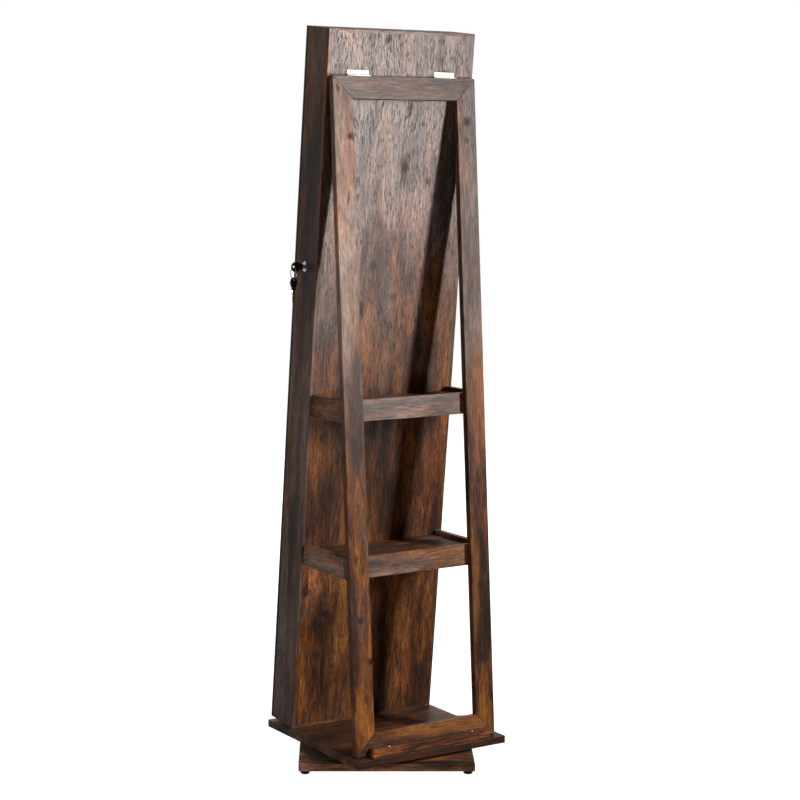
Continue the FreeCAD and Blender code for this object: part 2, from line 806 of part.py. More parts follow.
def make_door_panel():
    """The board that fills the profiles' window behind the glass and dips into the case."""
    half = "lined_half - door_panel_clearance"
    low = "lined_floor + door_panel_clearance"
    high = "lined_top - door_panel_clearance"
    inner = "-glass_back + door_panel_thickness"
    core = block("panel_core", ("-(%s)" % half, half), ("-glass_back", inner), (low, high))
    node("door_panel", in_case(compound("panel_seat", [core])))


def hinge_leaf(name, length, width, leaf, radius, hole, own, side):
    """One leaf of a butt hinge with its knuckles, drawn about the pin, which lies on Z.

    The leaf runs along +X on the side of the pin's plane that side names, and own lists the
    knuckles that belong to it, counted from below.
    """
    share = "(%s)/%d" % (length, KNUCKLE_COUNT)
    low, high = ("0", leaf) if side > 0 else ("-(%s)" % leaf, "0")
    notch = "%s + leaf_notch_clearance" % radius
    pieces = [block(name + "_plate", (notch, width), (low, high), ("0", length))]
    for index in own:
        start = "%d*%s + knuckle_gap/2" % (index, share)
        end = "%d*%s - knuckle_gap/2" % (index + 1, share)
        pieces.append(cylinder("%s_knuckle%d" % (name, index), radius,
                               "%s - knuckle_gap" % share, z=start))
        pieces.append(block("%s_tab%d" % (name, index), ("0", notch + " + overrun"),
                            (low, high), (start, end)))
    bore = cylinder(name + "_bore", hole, "%s + 2*overrun" % length, z="-overrun")
    return cut(name, fuse(name + "_solid", pieces), [bore])


def hinge_pin(name, radius, length):
    """A pin with a small round head at each end."""
    return turned(name, [("0", "-pin_head_height"), ("pin_head_radius", "-pin_head_height"),
                         ("pin_head_radius", "0"), (radius, "0"), (radius, length),
                         ("pin_head_radius", length),
                         ("pin_head_radius", "%s + pin_head_height" % length),
                         ("0", "%s + pin_head_height" % length)])


def make_door_hinges():
    """Three butt hinges in the seam between the case and the door."""
    odd, even = range(0, KNUCKLE_COUNT, 2), range(1, KNUCKLE_COUNT, 2)
    sizes = ("door_hinge_length", "door_leaf_width", "door_leaf_thickness",
             "door_knuckle_radius")
    fixed = hinge_leaf("door_fixed_leaf", *sizes, "door_pin_radius", odd, 1)
    moving = hinge_leaf("door_moving_leaf", *sizes, "door_pin_radius + pin_clearance", even, -1)
    pin = hinge_pin("door_pin", "door_pin_radius", "door_hinge_length")
    spots = [{"x": "-door_axis_x", "y": "-door_axis_y",
              "z": "door_hinge_end + %d*hinge_step - door_hinge_length/2" % index}
             for index in range(DOOR_HINGE_COUNT)]
    node("door_hinge_case_leaves", in_case(copies("fixed_leaves", fixed, spots)))
    node("door_hinge_door_leaves", in_case(copies("moving_leaves", moving, spots)))
    node("door_hinge_pins", in_case(copies("door_pins", pin, spots)))


def make_keeper():
    """The hook plate that holds the door when the cam is turned down behind it."""
    strap_high = "cam_inner_x - keeper_side_gap"
    strap_low = strap_high + " - keeper_thickness"
    face = "-glass_back + door_panel_thickness"
    tip = "-lock_from_back + cam_half_width + keeper_reach_gap + keeper_thickness"
    points = [(strap_low + " - keeper_foot", face), (strap_high, face), (strap_high, tip
              + " - keeper_thickness"), (strap_high + " + keeper_lip", tip
              + " - keeper_thickness"), (strap_high + " + keeper_lip", tip), (strap_low, tip),
              (strap_low, face + " + keeper_thickness"),
              (strap_low + " - keeper_foot", face + " + keeper_thickness")]
    level = "lock_height - keeper_drop - keeper_height/2"
    node("lock_keeper", in_case(slab("keeper", "XY_Plane", level, "keeper_height", points)))


# Cam lock

def at_lock(**turn):
    return [{"x": "case_half", "y": "-lock_from_back", "z": "lock_height", **turn}]


def make_lock():
    """Barrel, nut, turning plug, cam and screw; each is drawn along Z and laid along X."""
    turn = {"turn": TURN_TO["X"]}
    collar_floor = "lock_flange_height - plug_collar_height - plug_clearance"
    body = turned("barrel", [
        ("plug_radius + plug_clearance", "-lock_barrel_length"),
        ("lock_barrel_radius", "-lock_barrel_length"), ("lock_barrel_radius", "0"),
        ("lock_flange_radius", "0"),
        ("lock_flange_radius", "lock_flange_height - lock_flange_ease"),
        ("lock_flange_radius - lock_flange_ease", "lock_flange_height"),
        ("plug_collar_radius + plug_clearance", "lock_flange_height"),
        ("plug_collar_radius + plug_clearance", collar_floor),
        ("plug_radius + plug_clearance", collar_floor)])
    node("lock_body", in_case(copies("lock_bodies", body, at_lock(**turn))))

    nut = doc.addObject("Part::Prism", "nut_blank")
    nut.Polygon = 6
    nut.setExpression("Circumradius", bound("lock_nut_radius"))
    nut.setExpression("Height", bound("lock_nut_height"))
    place(nut, z="-case_board - lock_nut_height")
    bore = cylinder("nut_bore", "lock_barrel_radius", "2*case_board + lock_nut_height",
                    z="-2*case_board")
    nut = cut("nut", nut, [bore])
    node("lock_nut", in_case(copies("lock_nuts", nut, at_lock(**turn))))

    shoulder = "-(lock_barrel_length + 4*plug_clearance)"
    plug = turned("plug_blank", [
        ("0", shoulder), ("plug_radius", shoulder),
        ("plug_radius", "lock_flange_height - plug_collar_height"),
        ("plug_collar_radius", "lock_flange_height - plug_collar_height"),
        ("plug_collar_radius", "lock_flange_height"), ("0", "lock_flange_height")])
    half = "plug_tail_side/2"
    tail = block("plug_tail", ("-" + half, half), ("-" + half, half),
                 (shoulder + " - cam_thickness", shoulder + " + overrun"))
    slot_half = "key_half_width + key_slot_clearance"
    slot_side = "key_thickness/2 + key_slot_clearance"
    slot = block("keyway", ("-(%s)" % slot_half, slot_half), ("-(%s)" % slot_side, slot_side),
                 ("-key_tip_depth - key_slot_clearance", "lock_flange_height + overrun"))
    screw = domed_screw("cam_fixing", "cam_screw_radius", "cam_thickness + cam_screw_depth",
                        "cam_screw_head_radius", "cam_screw_head_height")
    screw = copies("cam_fixings", screw, [{"z": shoulder + " - cam_thickness",
                                           "turn": TURN_TO["-Z"]}])
    plug = cut("plug", fuse("plug_solid", [plug, tail]), [slot, screw])
    node("lock_plug", in_case(copies("lock_plugs", plug, at_lock(**turn))))
    node("cam_screw", in_case(copies("cam_screws", screw, at_lock(**turn))))

    y, z = "-lock_from_back", "lock_height"
    blank = slab("cam_blank", "YZ_Plane", "cam_inner_x", "cam_thickness", [
        (y + " + cam_half_width", z + " - cam_half_width/2"),
        (y + " + cam_half_width", z + " + cam_half_width/2"),
        (y + " + cam_half_width/2", z + " + cam_half_width"),
        (y + " - cam_length + cam_half_width/2", z + " + cam_half_width"),
        (y + " - cam_length", z + " + cam_half_width/2"),
        (y + " - cam_length", z + " - cam_half_width/2"),
        (y + " - cam_length + cam_half_width/2", z + " - cam_half_width"),
        (y + " + cam_half_width/2", z + " - cam_half_width")])
    square = block("cam_square", ("cam_inner_x - overrun", "cam_outer_x + overrun"),
                   (y + " - " + half, y + " + " + half), (z + " - " + half, z + " + " + half))
    node("lock_cam", in_case(cut("cam", blank, [square])))


# Keys, drawn about the hole in the head with the blade along -X

def make_keys():
    shoulder = "key_neck_start - hole_reach"
    tip = "-(key_tip_depth + hole_reach)"
    step = "(key_tip_depth + key_neck_start)/%d" % (2*len(BITTING_DEPTH_SHARES) + 2)
    points = [(tip, "-key_half_width/2"), (tip, "key_half_width/2"),
              (tip + " + key_half_width/2", "key_half_width"), (shoulder, "key_half_width"),
              (shoulder, "key_tang_half_width"),
              (shoulder + " + key_tang", "key_tang_half_width"),
              (shoulder + " + key_tang", "-key_tang_half_width"),
              (shoulder, "-key_tang_half_width"), (shoulder, "-key_half_width")]
    for index, share in enumerate(reversed(BITTING_DEPTH_SHARES)):
        place_x = "%s - %d*%s" % (shoulder, 2*index + 3, step)
        points.append((place_x + " + " + step, "-key_half_width"))
        points.append((place_x, "-key_half_width*(1 - %r)" % share))
    points.append((tip + " + key_half_width/2", "-key_half_width"))
    blade = slab("blade", "XZ_Plane", "-key_thickness/2", "key_thickness", points)

    half = "key_head_thickness/2"
    centre = "key_head_end - hole_reach - key_head_radius"
    bow = cylinder("key_bow", "key_head_radius", "key_head_thickness", centre, "-" + half,
                   "0", "Y")
    neck = block("key_neck", (shoulder, centre), ("-" + half, half),
                 ("-key_neck_half_width", "key_neck_half_width"))
    hole = cylinder("key_hole", "key_hole_radius", "key_head_thickness + 2*overrun", "0",
                    "-%s - overrun" % half, "0", "Y")
    head = cut("head", fuse("head_solid", [bow, neck]), [hole, blade])

    inserted = [{"x": "case_half + hole_reach", "y": "-lock_from_back", "z": "lock_height"}]
    node("key_blade", in_case(copies("key_blades", blade, inserted)))
    node("key_head", in_case(copies("key_heads", head, inserted)))

    ring = torus("split_ring", "ring_radius", "ring_wire_radius", "ring_level",
                 x="case_half + hole_reach", y="key_hole_y", turn=TURN_TO["X"])
    node("key_ring", ring)
    for name, master in (("spare_key_blade", blade), ("spare_key_head", head)):
        hanging = copies(name + "_hanging", master, [{"turn": TURN_TO["-X"]}])
        place(hanging, "case_half + hole_reach", "key_hole_y", "spare_level",
              (Vector(0, 0, 1), "spare_key_yaw"))
        node(name, hanging)


# Rear frame

def make_frame(top_tools, post_tools):
    """Two posts and two rails, mitred at the corners."""
    half, inner = "frame_half", "frame_inner"
    low, high = "frame_member", "frame_length - frame_member"
    outlines = {
        "frame_post_lock_side": [(half, "0"), (half, "frame_length"), (inner, high),
                                 (inner, low)],
        "frame_post_hinge_side": [("-" + half, "0"), ("-" + half, "frame_length"),
                                  ("-" + inner, high), ("-" + inner, low)],
        "frame_top_rail": [("-" + half, "frame_length"), (half, "frame_length"), (inner, high),
                           ("-" + inner, high)],
        "frame_foot_rail": [("-" + half, "0"), (half, "0"), (inner, low), ("-" + inner, low)],
    }
    for name, points in outlines.items():
        piece = in_frame(slab(name, "XZ_Plane", "0", "frame_thickness", points, "frame_ease"))
        if name == "frame_top_rail":
            piece = cut("top_rail", piece, top_tools)
        elif "post" in name:
            piece = cut(name, piece, post_tools)
        node(name, piece)


def make_frame_hinges():
    """Two knock-down butt hinges in the corner above the frame's top."""
    odd, even = range(0, KNUCKLE_COUNT, 2), range(1, KNUCKLE_COUNT, 2)
    sizes = ("frame_hinge_length", "frame_leaf_width", "frame_leaf_thickness",
             "frame_knuckle_radius")
    pin = hinge_pin("frame_pin", "frame_pin_radius", "frame_hinge_length")
    screw = domed_screw("hinge_screw", "hinge_screw_radius", "hinge_screw_length",
                        "hinge_screw_head_radius", "hinge_screw_head_height")
    spots = {"x": ("frame_hinge_spread", "-frame_hinge_spread")}
    case_leaf = frame_leaf("frame_case_leaf", sizes, odd, "case")
    rail_leaf = frame_leaf("frame_rail_leaf", sizes, even, "frame")

    def along_x(name, master, y, z, seat):
        places = [{"x": x + " - frame_hinge_length/2", "y": y, "z": z, "turn": TURN_TO["X"]}
                  for x in spots["x"]]
        return seat(copies(name, master, places))

    case_y, case_z = "frame_knuckle_radius", "frame_hinge_height + corner_step"
    node("frame_hinge_pins", along_x("frame_pins", pin, case_y, case_z, in_case))

    case_places = [{"x": x, "y": case_y, "z": case_z} for x in spots["x"]]
    node("frame_hinge_case_leaves", in_case(copies("case_leaf_pair", case_leaf, case_places)))
    rail_places = [{"x": x, "y": "corner_step", "z": "frame_length + frame_knuckle_radius"}
                   for x in spots["x"]]
    node("frame_hinge_frame_leaves", in_frame(copies("rail_leaf_pair", rail_leaf, rail_places)))

    reach = "(frame_leaf_width + frame_knuckle_radius + leaf_notch_clearance)/2"
    offsets = [x + side + "hinge_screw_spread" for x in spots["x"] for side in (" + ", " - ")]
    case_screws = in_case(copies("case_leaf_screws", screw, [
        {"x": x, "y": "frame_leaf_thickness", "z": "%s + %s" % (case_z, reach),
         "turn": TURN_TO["Y"]} for x in offsets]))
    rail_screws = in_frame(copies("rail_leaf_screws", screw, [
        {"x": x, "y": "corner_step + " + reach, "z": "frame_length + frame_leaf_thickness"}
        for x in offsets]))
    node("frame_hinge_screws", compound("hinge_screws", [case_screws, rail_screws]))
    for name, screws in (("frame_hinge_case_leaves", case_screws),
                         ("frame_hinge_frame_leaves", rail_screws)):
        leaves = nodes[name]
        leaves.Label = name + "_blank"
        node(name, cut(name + "_drilled", leaves, [screws]))
    return case_screws, rail_screws


def frame_leaf(name, sizes, own, side):
    """A leaf drawn about its pin along X: upright on the case, flat on the frame's top."""
    length, width, leaf, radius = sizes
    share = "(%s)/%d" % (length, KNUCKLE_COUNT)
    start_x = "-(%s)/2" % length
    notch = radius + " + leaf_notch_clearance"
    lower = "-(%s)" % radius
    upper = "-(%s) + %s" % (radius, leaf)

    def plate(label, x, reach):
        if side == "case":
            return block(label, x, (lower, upper), reach)
        return block(label, x, reach, (lower, upper))

    pieces = [plate(name + "_plate", (start_x, start_x + " + " + length), (notch, width))]
    for index in own:
        low = "%s + %d*%s + knuckle_gap/2" % (start_x, index, share)
        high = "%s + %d*%s - knuckle_gap/2" % (start_x, index + 1, share)
        pieces.append(cylinder("%s_knuckle%d" % (name, index), radius,
                               "%s - knuckle_gap" % share, low, along="X"))
        pieces.append(plate("%s_tab%d" % (name, index), (low, high),
                            ("0", notch + " + overrun")))
    bore = cylinder(name + "_bore", "frame_pin_radius", length + " + 2*overrun",
                    start_x + " - overrun", along="X")
    return cut(name, fuse(name + "_solid", pieces), [bore])


def make_cleat():
    """The batten screwed to the turntable that stops the frame's foot, bevelled to its lean."""
    top = "deck_top + cleat_height"
    rear = "frame_rear_foot + cleat_depth"
    points = [("frame_rear_foot", "deck_top"), (rear, "deck_top"), (rear, top),
              ("frame_rear_foot - cleat_height*tan(frame_lean)", top)]
    bar = slab("cleat_blank", "YZ_Plane", "-cleat_offset - cleat_length/2", "cleat_length",
               points, "case_ease")
    screw = domed_screw("cleat_screw", "screw_radius", "cleat_screw_length", "dome_head_radius",
                        "dome_head_height")
    spots = [{"x": "-cleat_offset %s cleat_screw_spread" % sign,
              "y": "frame_rear_foot + cleat_depth/2", "z": top} for sign in ("+", "-")]
    screws = node("cleat_screws", copies("cleat_screws", screw, spots))
    node("foot_cleat", cut("cleat", bar, [screws]))
    return screws


# Tray shelves

def case_line(level):
    """Where the case's leaning back stands at a height above the floor."""
    return "-case_foot_back + (%s - deck_top)*tan(case_lean)" % level


def frame_line(level, inset="0"):
    """Where the rear frame's front face stands at a height, less an inset square to it."""
    return ("frame_foot_reach - (%s - deck_top)*tan(frame_lean) - (%s)/cos(frame_lean)"
            % (level, inset))


def between(low, high, inset):
    """An outline from the case's back to the frame, between two heights."""
    return [(case_line(low), low), (frame_line(low, inset), low),
            (frame_line(high, inset), high), (case_line(high), high)]


def make_tray(name, top):
    """Two side rails, a rear rail against the posts, a floor and the screws' places."""
    low = "(%s - tray_height)" % top
    half = "tray_width/2"
    sides = []
    for index, start in enumerate(("-" + half, half + " - tray_thickness")):
        sides.append(slab("%s_side%d" % (name, index), "YZ_Plane", start, "tray_thickness",
                          between(low, top, "tray_thickness")))
    node(name + "_sides", compound(name + "_side_pair", sides))

    rear_points = [(frame_line(low, "tray_thickness"), low), (frame_line(low), low),
                   (frame_line(top), top), (frame_line(top, "tray_thickness"), top)]
    rear = slab(name + "_rear_blank", "YZ_Plane", "-" + half, "tray_width", rear_points)

    floor_top = "(%s - tray_floor_drop)" % top
    floor_low = "(%s - tray_floor_thickness)" % floor_top
    floor = slab(name + "_floor_blank", "YZ_Plane", "-%s + tray_thickness" % half,
                 "tray_width - 2*tray_thickness", between(floor_low, floor_top, "tray_thickness"))
    node(name + "_floor", floor)

    batten_low = "(%s - batten_height)" % floor_low
    batten = slab(name + "_batten", "YZ_Plane", "-%s + tray_thickness" % half,
                  "tray_width - 2*tray_thickness", [
                      (case_line(batten_low), batten_low),
                      (case_line(batten_low) + " + batten_depth", batten_low),
                      (case_line(batten_low) + " + batten_depth", floor_low),
                      (case_line(floor_low), floor_low)])
    return rear, batten, batten_low + " + batten_height/2", low


def make_trays():
    """Both trays with their hidden battens and fixing screws."""
    screw = domed_screw("tray_screw", "screw_radius", "tray_screw_length", "dome_head_radius",
                        "dome_head_height")
    upper = make_tray("upper_tray", "upper_tray_top")
    lower = make_tray("lower_tray", "lower_tray_top")
    case_spots, post_spots = [], []
    for rear, batten, batten_level, low in (upper, lower):
        for sign in ("", "-"):
            case_spots.append({
                "x": sign + "batten_screw_spread",
                "y": "(%s) + batten_depth - batten_height/2*tan(case_lean)"
                     % case_line(batten_level),
                "z": batten_level, "turn": TURN_TO["Y"]})
            post_level = "(%s + batten_height/2)" % low
            post_spots.append({
                "x": sign + "(frame_inner + tray_width/2 - tray_thickness)/2",
                "y": frame_line(post_level, "tray_thickness"),
                "z": post_level, "turn": (Vector(1, 0, 0), "90 deg + frame_lean")})
    case_screws = copies("batten_screws", screw, case_spots)
    post_screws = copies("post_screws", screw, post_spots)
    node("tray_screws", compound("tray_screws", [case_screws, post_screws]))
    for name, (rear, batten, _, _) in (("upper", upper), ("lower", lower)):
        node(name + "_tray_rear", cut(name + "_rear", rear, [post_screws]))
    node("tray_battens", cut("battens", compound("batten_pair", [upper[1], lower[1]]),
                             [case_screws]))
    return case_screws, post_screws


# The whole cabinet

def make_cabinet():
    bearing_screw = make_base()
    make_ball_race()
    case_foot_screws = make_deck(bearing_screw)
    make_case_sides()
    make_case_ends(case_foot_screws)
    hinge_case_screws, hinge_rail_screws = make_frame_hinges()
    batten_screws, post_screws = make_trays()
    make_case_back([hinge_case_screws, batten_screws])
    make_case_lining()
    make_inner_shelf("inner_shelf_upper", "upper_shelf_height")
    make_inner_shelf("inner_shelf_lower", "lower_shelf_height")
    make_hook_strip()
    make_earring_rack()
    make_ring_cushion()
    make_bracelet_rod()
    make_door_frame()
    make_door_panel()
    make_door_hinges()
    make_keeper()
    make_lock()
    make_keys()
    make_frame([hinge_rail_screws], [post_screws])


def check_and_export():
    """Refuse a failed object or an unsound shape, then write one file for each sub-part."""
    doc.recompute()
    failed = [item.Label for item in doc.Objects
              if "Invalid" in item.State or "Error" in item.State]
    if failed:
        raise RuntimeError("failed objects: %s" % failed)
    for name, piece in nodes.items():
        if piece.Shape.isNull() or not piece.Shape.isValid() or not piece.Shape.Solids:
            raise RuntimeError("unsound shape: %s" % name)
    os.makedirs("parts", exist_ok=True)
    for name, piece in nodes.items():
        piece.Shape.exportStep(os.path.join("parts", name + ".step"))
        print(name, len(piece.Shape.Solids), "solids")
    print(len(nodes), "sub-parts")


make_cabinet()
check_and_export()
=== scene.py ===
# %% [markdown]
# The looks of a swivel mirror jewelry cabinet, as a lesson in cells. The construction is
# loaded as a fixed frame whose boards, hinges and lock already stand at their real places,
# so what is left is the finish of every board and fitting, the soft ring cushion, and the
# light and the camera of the photograph.

import math

import bpy
import numpy as np
from mathutils import Matrix, Vector


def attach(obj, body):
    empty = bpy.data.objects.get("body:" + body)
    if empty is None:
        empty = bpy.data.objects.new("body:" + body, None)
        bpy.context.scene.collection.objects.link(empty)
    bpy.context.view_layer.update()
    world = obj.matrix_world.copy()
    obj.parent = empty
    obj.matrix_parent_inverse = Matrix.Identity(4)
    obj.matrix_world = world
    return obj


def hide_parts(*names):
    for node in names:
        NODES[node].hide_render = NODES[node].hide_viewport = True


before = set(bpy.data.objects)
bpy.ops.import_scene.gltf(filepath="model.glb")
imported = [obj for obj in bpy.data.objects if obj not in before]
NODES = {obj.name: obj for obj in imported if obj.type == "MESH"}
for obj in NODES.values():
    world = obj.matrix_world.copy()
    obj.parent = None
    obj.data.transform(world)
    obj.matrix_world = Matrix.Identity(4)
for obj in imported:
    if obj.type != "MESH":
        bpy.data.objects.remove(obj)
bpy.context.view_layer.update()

# %% [markdown]
# Sizes are written in millimetres, because that is how boards and fittings are sold, and
# turned to metres once. Two leans are needed by nearly every board: the case leans back by
# 5.56 degrees and the open rear frame leans the other way by 4.38 degrees. The square base
# is turned under the turntable, as it is in the photograph. Y points to the rear, and the
# case's foot stands on the turntable ahead of the swivel's axis.

# %% Units and leans
MM = 0.001
CASE_LEAN = math.radians(5.56)
FRAME_LEAN = math.radians(-4.376)
BASE_TURN = math.radians(31.56)
DECK_TOP = 49.4*MM
CASE_FOOT_AHEAD = 95.1*MM

LEVEL = (0.0, 0.0, 0.0)
CASE_UPRIGHT = (CASE_LEAN, 0.0, 0.0)
FRAME_UPRIGHT = (FRAME_LEAN, 0.0, 0.0)
BASE_SQUARE = (0.0, 0.0, BASE_TURN)
print("case and frame meet at", round(math.degrees(CASE_LEAN - FRAME_LEAN), 2), "degrees")

# %% [markdown]
# Every material is a small tree of nodes. A single helper adds a node, sets its properties,
# feeds its sockets and hands back the output that is wanted. Colours are written as the
# sRGB hex values that a paint chart would give, then turned to the linear values that
# Blender works with. What is the same all over a surface, such as its IOR, is set on the
# shader's own socket, because the export would lose it at the end of a link.

# %% Material helpers
def linear(hex_colour):
    """sRGB hex to linear RGBA: a short straight part near black, then a 2.4 power curve."""
    parts = [int(hex_colour[start:start + 2], 16)/255 for start in (1, 3, 5)]
    return tuple(p/12.92 if p <= 0.04045 else ((p + 0.055)/1.055)**2.4 for p in parts) + (1.0,)


def add(tree, kind, inputs=None, out=0, stops=(), **settings):
    """Add one node and return one of its outputs, or the node itself where out is None.

    settings are the node's properties, and inputs are values, or the sockets that feed it,
    by name or number. stops fill a colour ramp: each is a place from 0 to 1 and a hex colour.
    """
    node = tree.nodes.new(kind)
    for key, value in settings.items():
        setattr(node, key, value)
    for key, value in (inputs or {}).items():
        if isinstance(value, bpy.types.NodeSocket):
            tree.links.new(value, node.inputs[key])
        else:
            node.inputs[key].default_value = value
    if stops:
        elements = node.color_ramp.elements
        while len(elements) < len(stops):
            elements.new(0.5)
        for element, (place, colour) in zip(elements, stops):
            element.position = place
            element.color = linear(colour)
    return node if out is None else node.outputs[out]


def new_material(name):
    """An empty material with a Principled shader wired to its output."""
    material = bpy.data.materials.new(name)
    material.use_nodes = True
    tree = material.node_tree
    tree.nodes.clear()
    shader = add(tree, "ShaderNodeBsdfPrincipled", out=None)
    add(tree, "ShaderNodeOutputMaterial", {"Surface": shader.outputs["BSDF"]}, out=None)
    return material, tree, shader


def dress(material, *names):
    """Put a material on CAD nodes, through their objects' slots."""
    for name in names:
        for slot in NODES[name].material_slots:
            slot.material = material


print("the hex grey #808080 is", round(linear("#808080")[0], 3), "in linear light")

# %% [markdown]
# The boards are particle board faced with a rustic melamine foil: a printed picture of old
# brown planks under a hard, slightly embossed skin. The print has broad patches that drift
# from black brown through chestnut to orange, grey where the planks look weathered, fine
# dark pores a few millimetres long, and now and then a knot. On the case's back and the rear
# frame's posts the grey also grows towards the top, and there it is partly painted sheen: the
# glare of the upper boards painted into their colour. It could be an image laid on each face,
# but a print made of nodes needs no image and wraps round every edge. Each layer of it is a
# noise stretched along the grain, with its width and length in millimetres. The hairs and
# dashes are three times as wide as the real ones, so that they show in the render.

# %% Layers of the print
# width and length in millimetres, then the noise's detail, roughness and distortion
FOIL_LAYERS = {
    "patches": (50, 260, 2.0, 0.5, 0.5),
    "mottle": (15, 95, 3.0, 0.6, 0.9),
    "hairs": (1.7, 26, 3.0, 0.7, 0.0),
    "weather": (85, 380, 2.0, 0.5, 0.9),
    "strips": (45, 1800, 1.0, 0.5, 0.0),
    "smoke": (26, 90, 3.0, 0.6, 1.6),
    "dashes": (1.6, 12, 1.0, 0.5, 0.0),
}


def stretch(grain, width, length):
    """Repeats per metre on each axis: 1/length along the grain and 1/width across it."""
    repeats = [1/(width*MM)]*3
    repeats["XYZ".index(grain)] = 1/(length*MM)
    return repeats


def foil_layers(tree, place, grain):
    """A noise from 0 to 1 for each layer, by the layer's name."""
    layers = {}
    for layer, (width, length, detail, roughness, distortion) in FOIL_LAYERS.items():
        spread = add(tree, "ShaderNodeVectorMath", {0: place, 1: stretch(grain, width, length)},
                     operation="MULTIPLY")
        layers[layer] = add(tree, "ShaderNodeTexNoise",
                            {"Vector": spread, "Scale": 1.0, "Detail": detail,
                             "Roughness": roughness, "Distortion": distortion}, out="Fac")
    return layers


print("layers of the print:", ", ".join(FOIL_LAYERS))

# %% [markdown]
# The layers are put together as a printer lays down inks. Patches, mottling and hair grain
# add up to one tone. Two ramps colour that tone, one from black brown to orange and one from
# charcoal to pinkish grey, and the slow weather layer mixes the second into the first. The mix
# can change with height: the greyer top of the back and the posts is partly weathered print and
# partly painted sheen. Long strips shift the hue a little, as planks side by side do, and smoke
# darkens some spots.

# %% Colour of the print
WARM_PRINT = [(0.32, "#1d0f06"), (0.44, "#432410"), (0.54, "#683c1a"), (0.64, "#875221"),
              (0.78, "#a4682b")]
GREY_PRINT_AND_SHEEN = [(0.32, "#3c3230"), (0.44, "#56463f"), (0.54, "#6a574f"), (0.64, "#7d675e"),
              (0.78, "#917869")]
SMOKE_INK = "#150c07"
TONE_WEIGHTS = {"patches": 0.72, "mottle": 0.40, "hairs": 0.46}
TONE_START = -0.30
CLIMB_MIDDLE = 750*MM
# factors on red, green, blue and alpha
COOL_STRIP = (0.93, 0.975, 1.05, 1.0)
WARM_STRIP = (1.085, 1.00, 0.87, 1.0)
# where in its noise a layer starts to show, where it shows most, and how much it shows there
WEATHER_AND_SHEEN_SHOWS = {"From Min": 0.46, "From Max": 0.72, "To Max": 0.92}
STRIPS_SHOW = {"From Min": 0.42, "From Max": 0.60, "To Max": 1.0}
SMOKE_SHOWS = {"From Min": 0.57, "From Max": 0.74, "To Max": 0.5}


def printed_colour(tree, layers, height, grey, grey_climb_and_sheen):
    """The colour of the print, before its dashes and knots.

    tone = start + the sum of weight times layer.  It is weathered by weather + grey + a rate
    times (height - 0.75 m), where the part that grows with height is partly painted sheen,
    tinted by the strips, and up to half covered by smoke.
    """
    tone = TONE_START
    for layer, weight in TONE_WEIGHTS.items():
        tone = add(tree, "ShaderNodeMath", {0: layers[layer], 1: weight, 2: tone},
                   operation="MULTIPLY_ADD")
    warm = add(tree, "ShaderNodeValToRGB", {"Fac": tone}, stops=WARM_PRINT)
    cool = add(tree, "ShaderNodeValToRGB", {"Fac": tone}, stops=GREY_PRINT_AND_SHEEN)
    # grey that changes with height: partly weathered print, and at the top of the back and the
    # posts partly painted sheen
    grey_and_sheen_rise = add(tree, "ShaderNodeMath", {0: height, 1: grey_climb_and_sheen, 2: grey - CLIMB_MIDDLE*grey_climb_and_sheen},
               operation="MULTIPLY_ADD")
    weather = add(tree, "ShaderNodeMath", {0: layers["weather"], 1: grey_and_sheen_rise}, operation="ADD")
    weathered_and_sheen = add(tree, "ShaderNodeMapRange", {"Value": weather, **WEATHER_AND_SHEEN_SHOWS})
    colour = add(tree, "ShaderNodeMix", {0: weathered_and_sheen, 6: warm, 7: cool}, out=2,
                 data_type="RGBA")
    plank = add(tree, "ShaderNodeMapRange", {"Value": layers["strips"], **STRIPS_SHOW})
    tint = add(tree, "ShaderNodeMix", {0: plank, 6: COOL_STRIP, 7: WARM_STRIP}, out=2,
               data_type="RGBA")
    colour = add(tree, "ShaderNodeMix", {0: 1.0, 6: colour, 7: tint}, out=2,
                 data_type="RGBA", blend_type="MULTIPLY")
    smoky = add(tree, "ShaderNodeMapRange", {"Value": layers["smoke"], **SMOKE_SHOWS})
    return add(tree, "ShaderNodeMix", {0: smoky, 6: colour, 7: linear(SMOKE_INK)}, out=2,
               data_type="RGBA")


print("stops in the two ramps", len(WARM_PRINT), len(GREY_PRINT_AND_SHEEN))

# %% [markdown]
# Dashes are the pores of the old planks: the high end of a short fine noise. A knot or a
# crack is a dark spot at a known place. It could be a decal, but a distance from its centre,
# measured in its own widths and lengths, draws it in the same tree of nodes. A real knot has
# a ragged rim, so a fine noise first shifts every point, and the dashes' noise breaks it up.

# %% Dashes, knots and cracks
DASH_INK, KNOT_INK = "#120b09", "#120a07"
KNOT_DEPTH = 0.92
DASHES_SHOW = {"From Min": 0.57, "From Max": 0.63}
DASHES_BREAK_KNOTS = {"From Min": 0.36, "From Max": 0.56, "To Min": 0.40}
# the knots' ragged rim: how wide and long its noise is, and how far it shifts a point
RIM_WIDTH, RIM_LENGTH = 7, 16
RIM_SHIFT = (9*MM, 0.0, 16*MM)
KNOT_CORE = 0.35


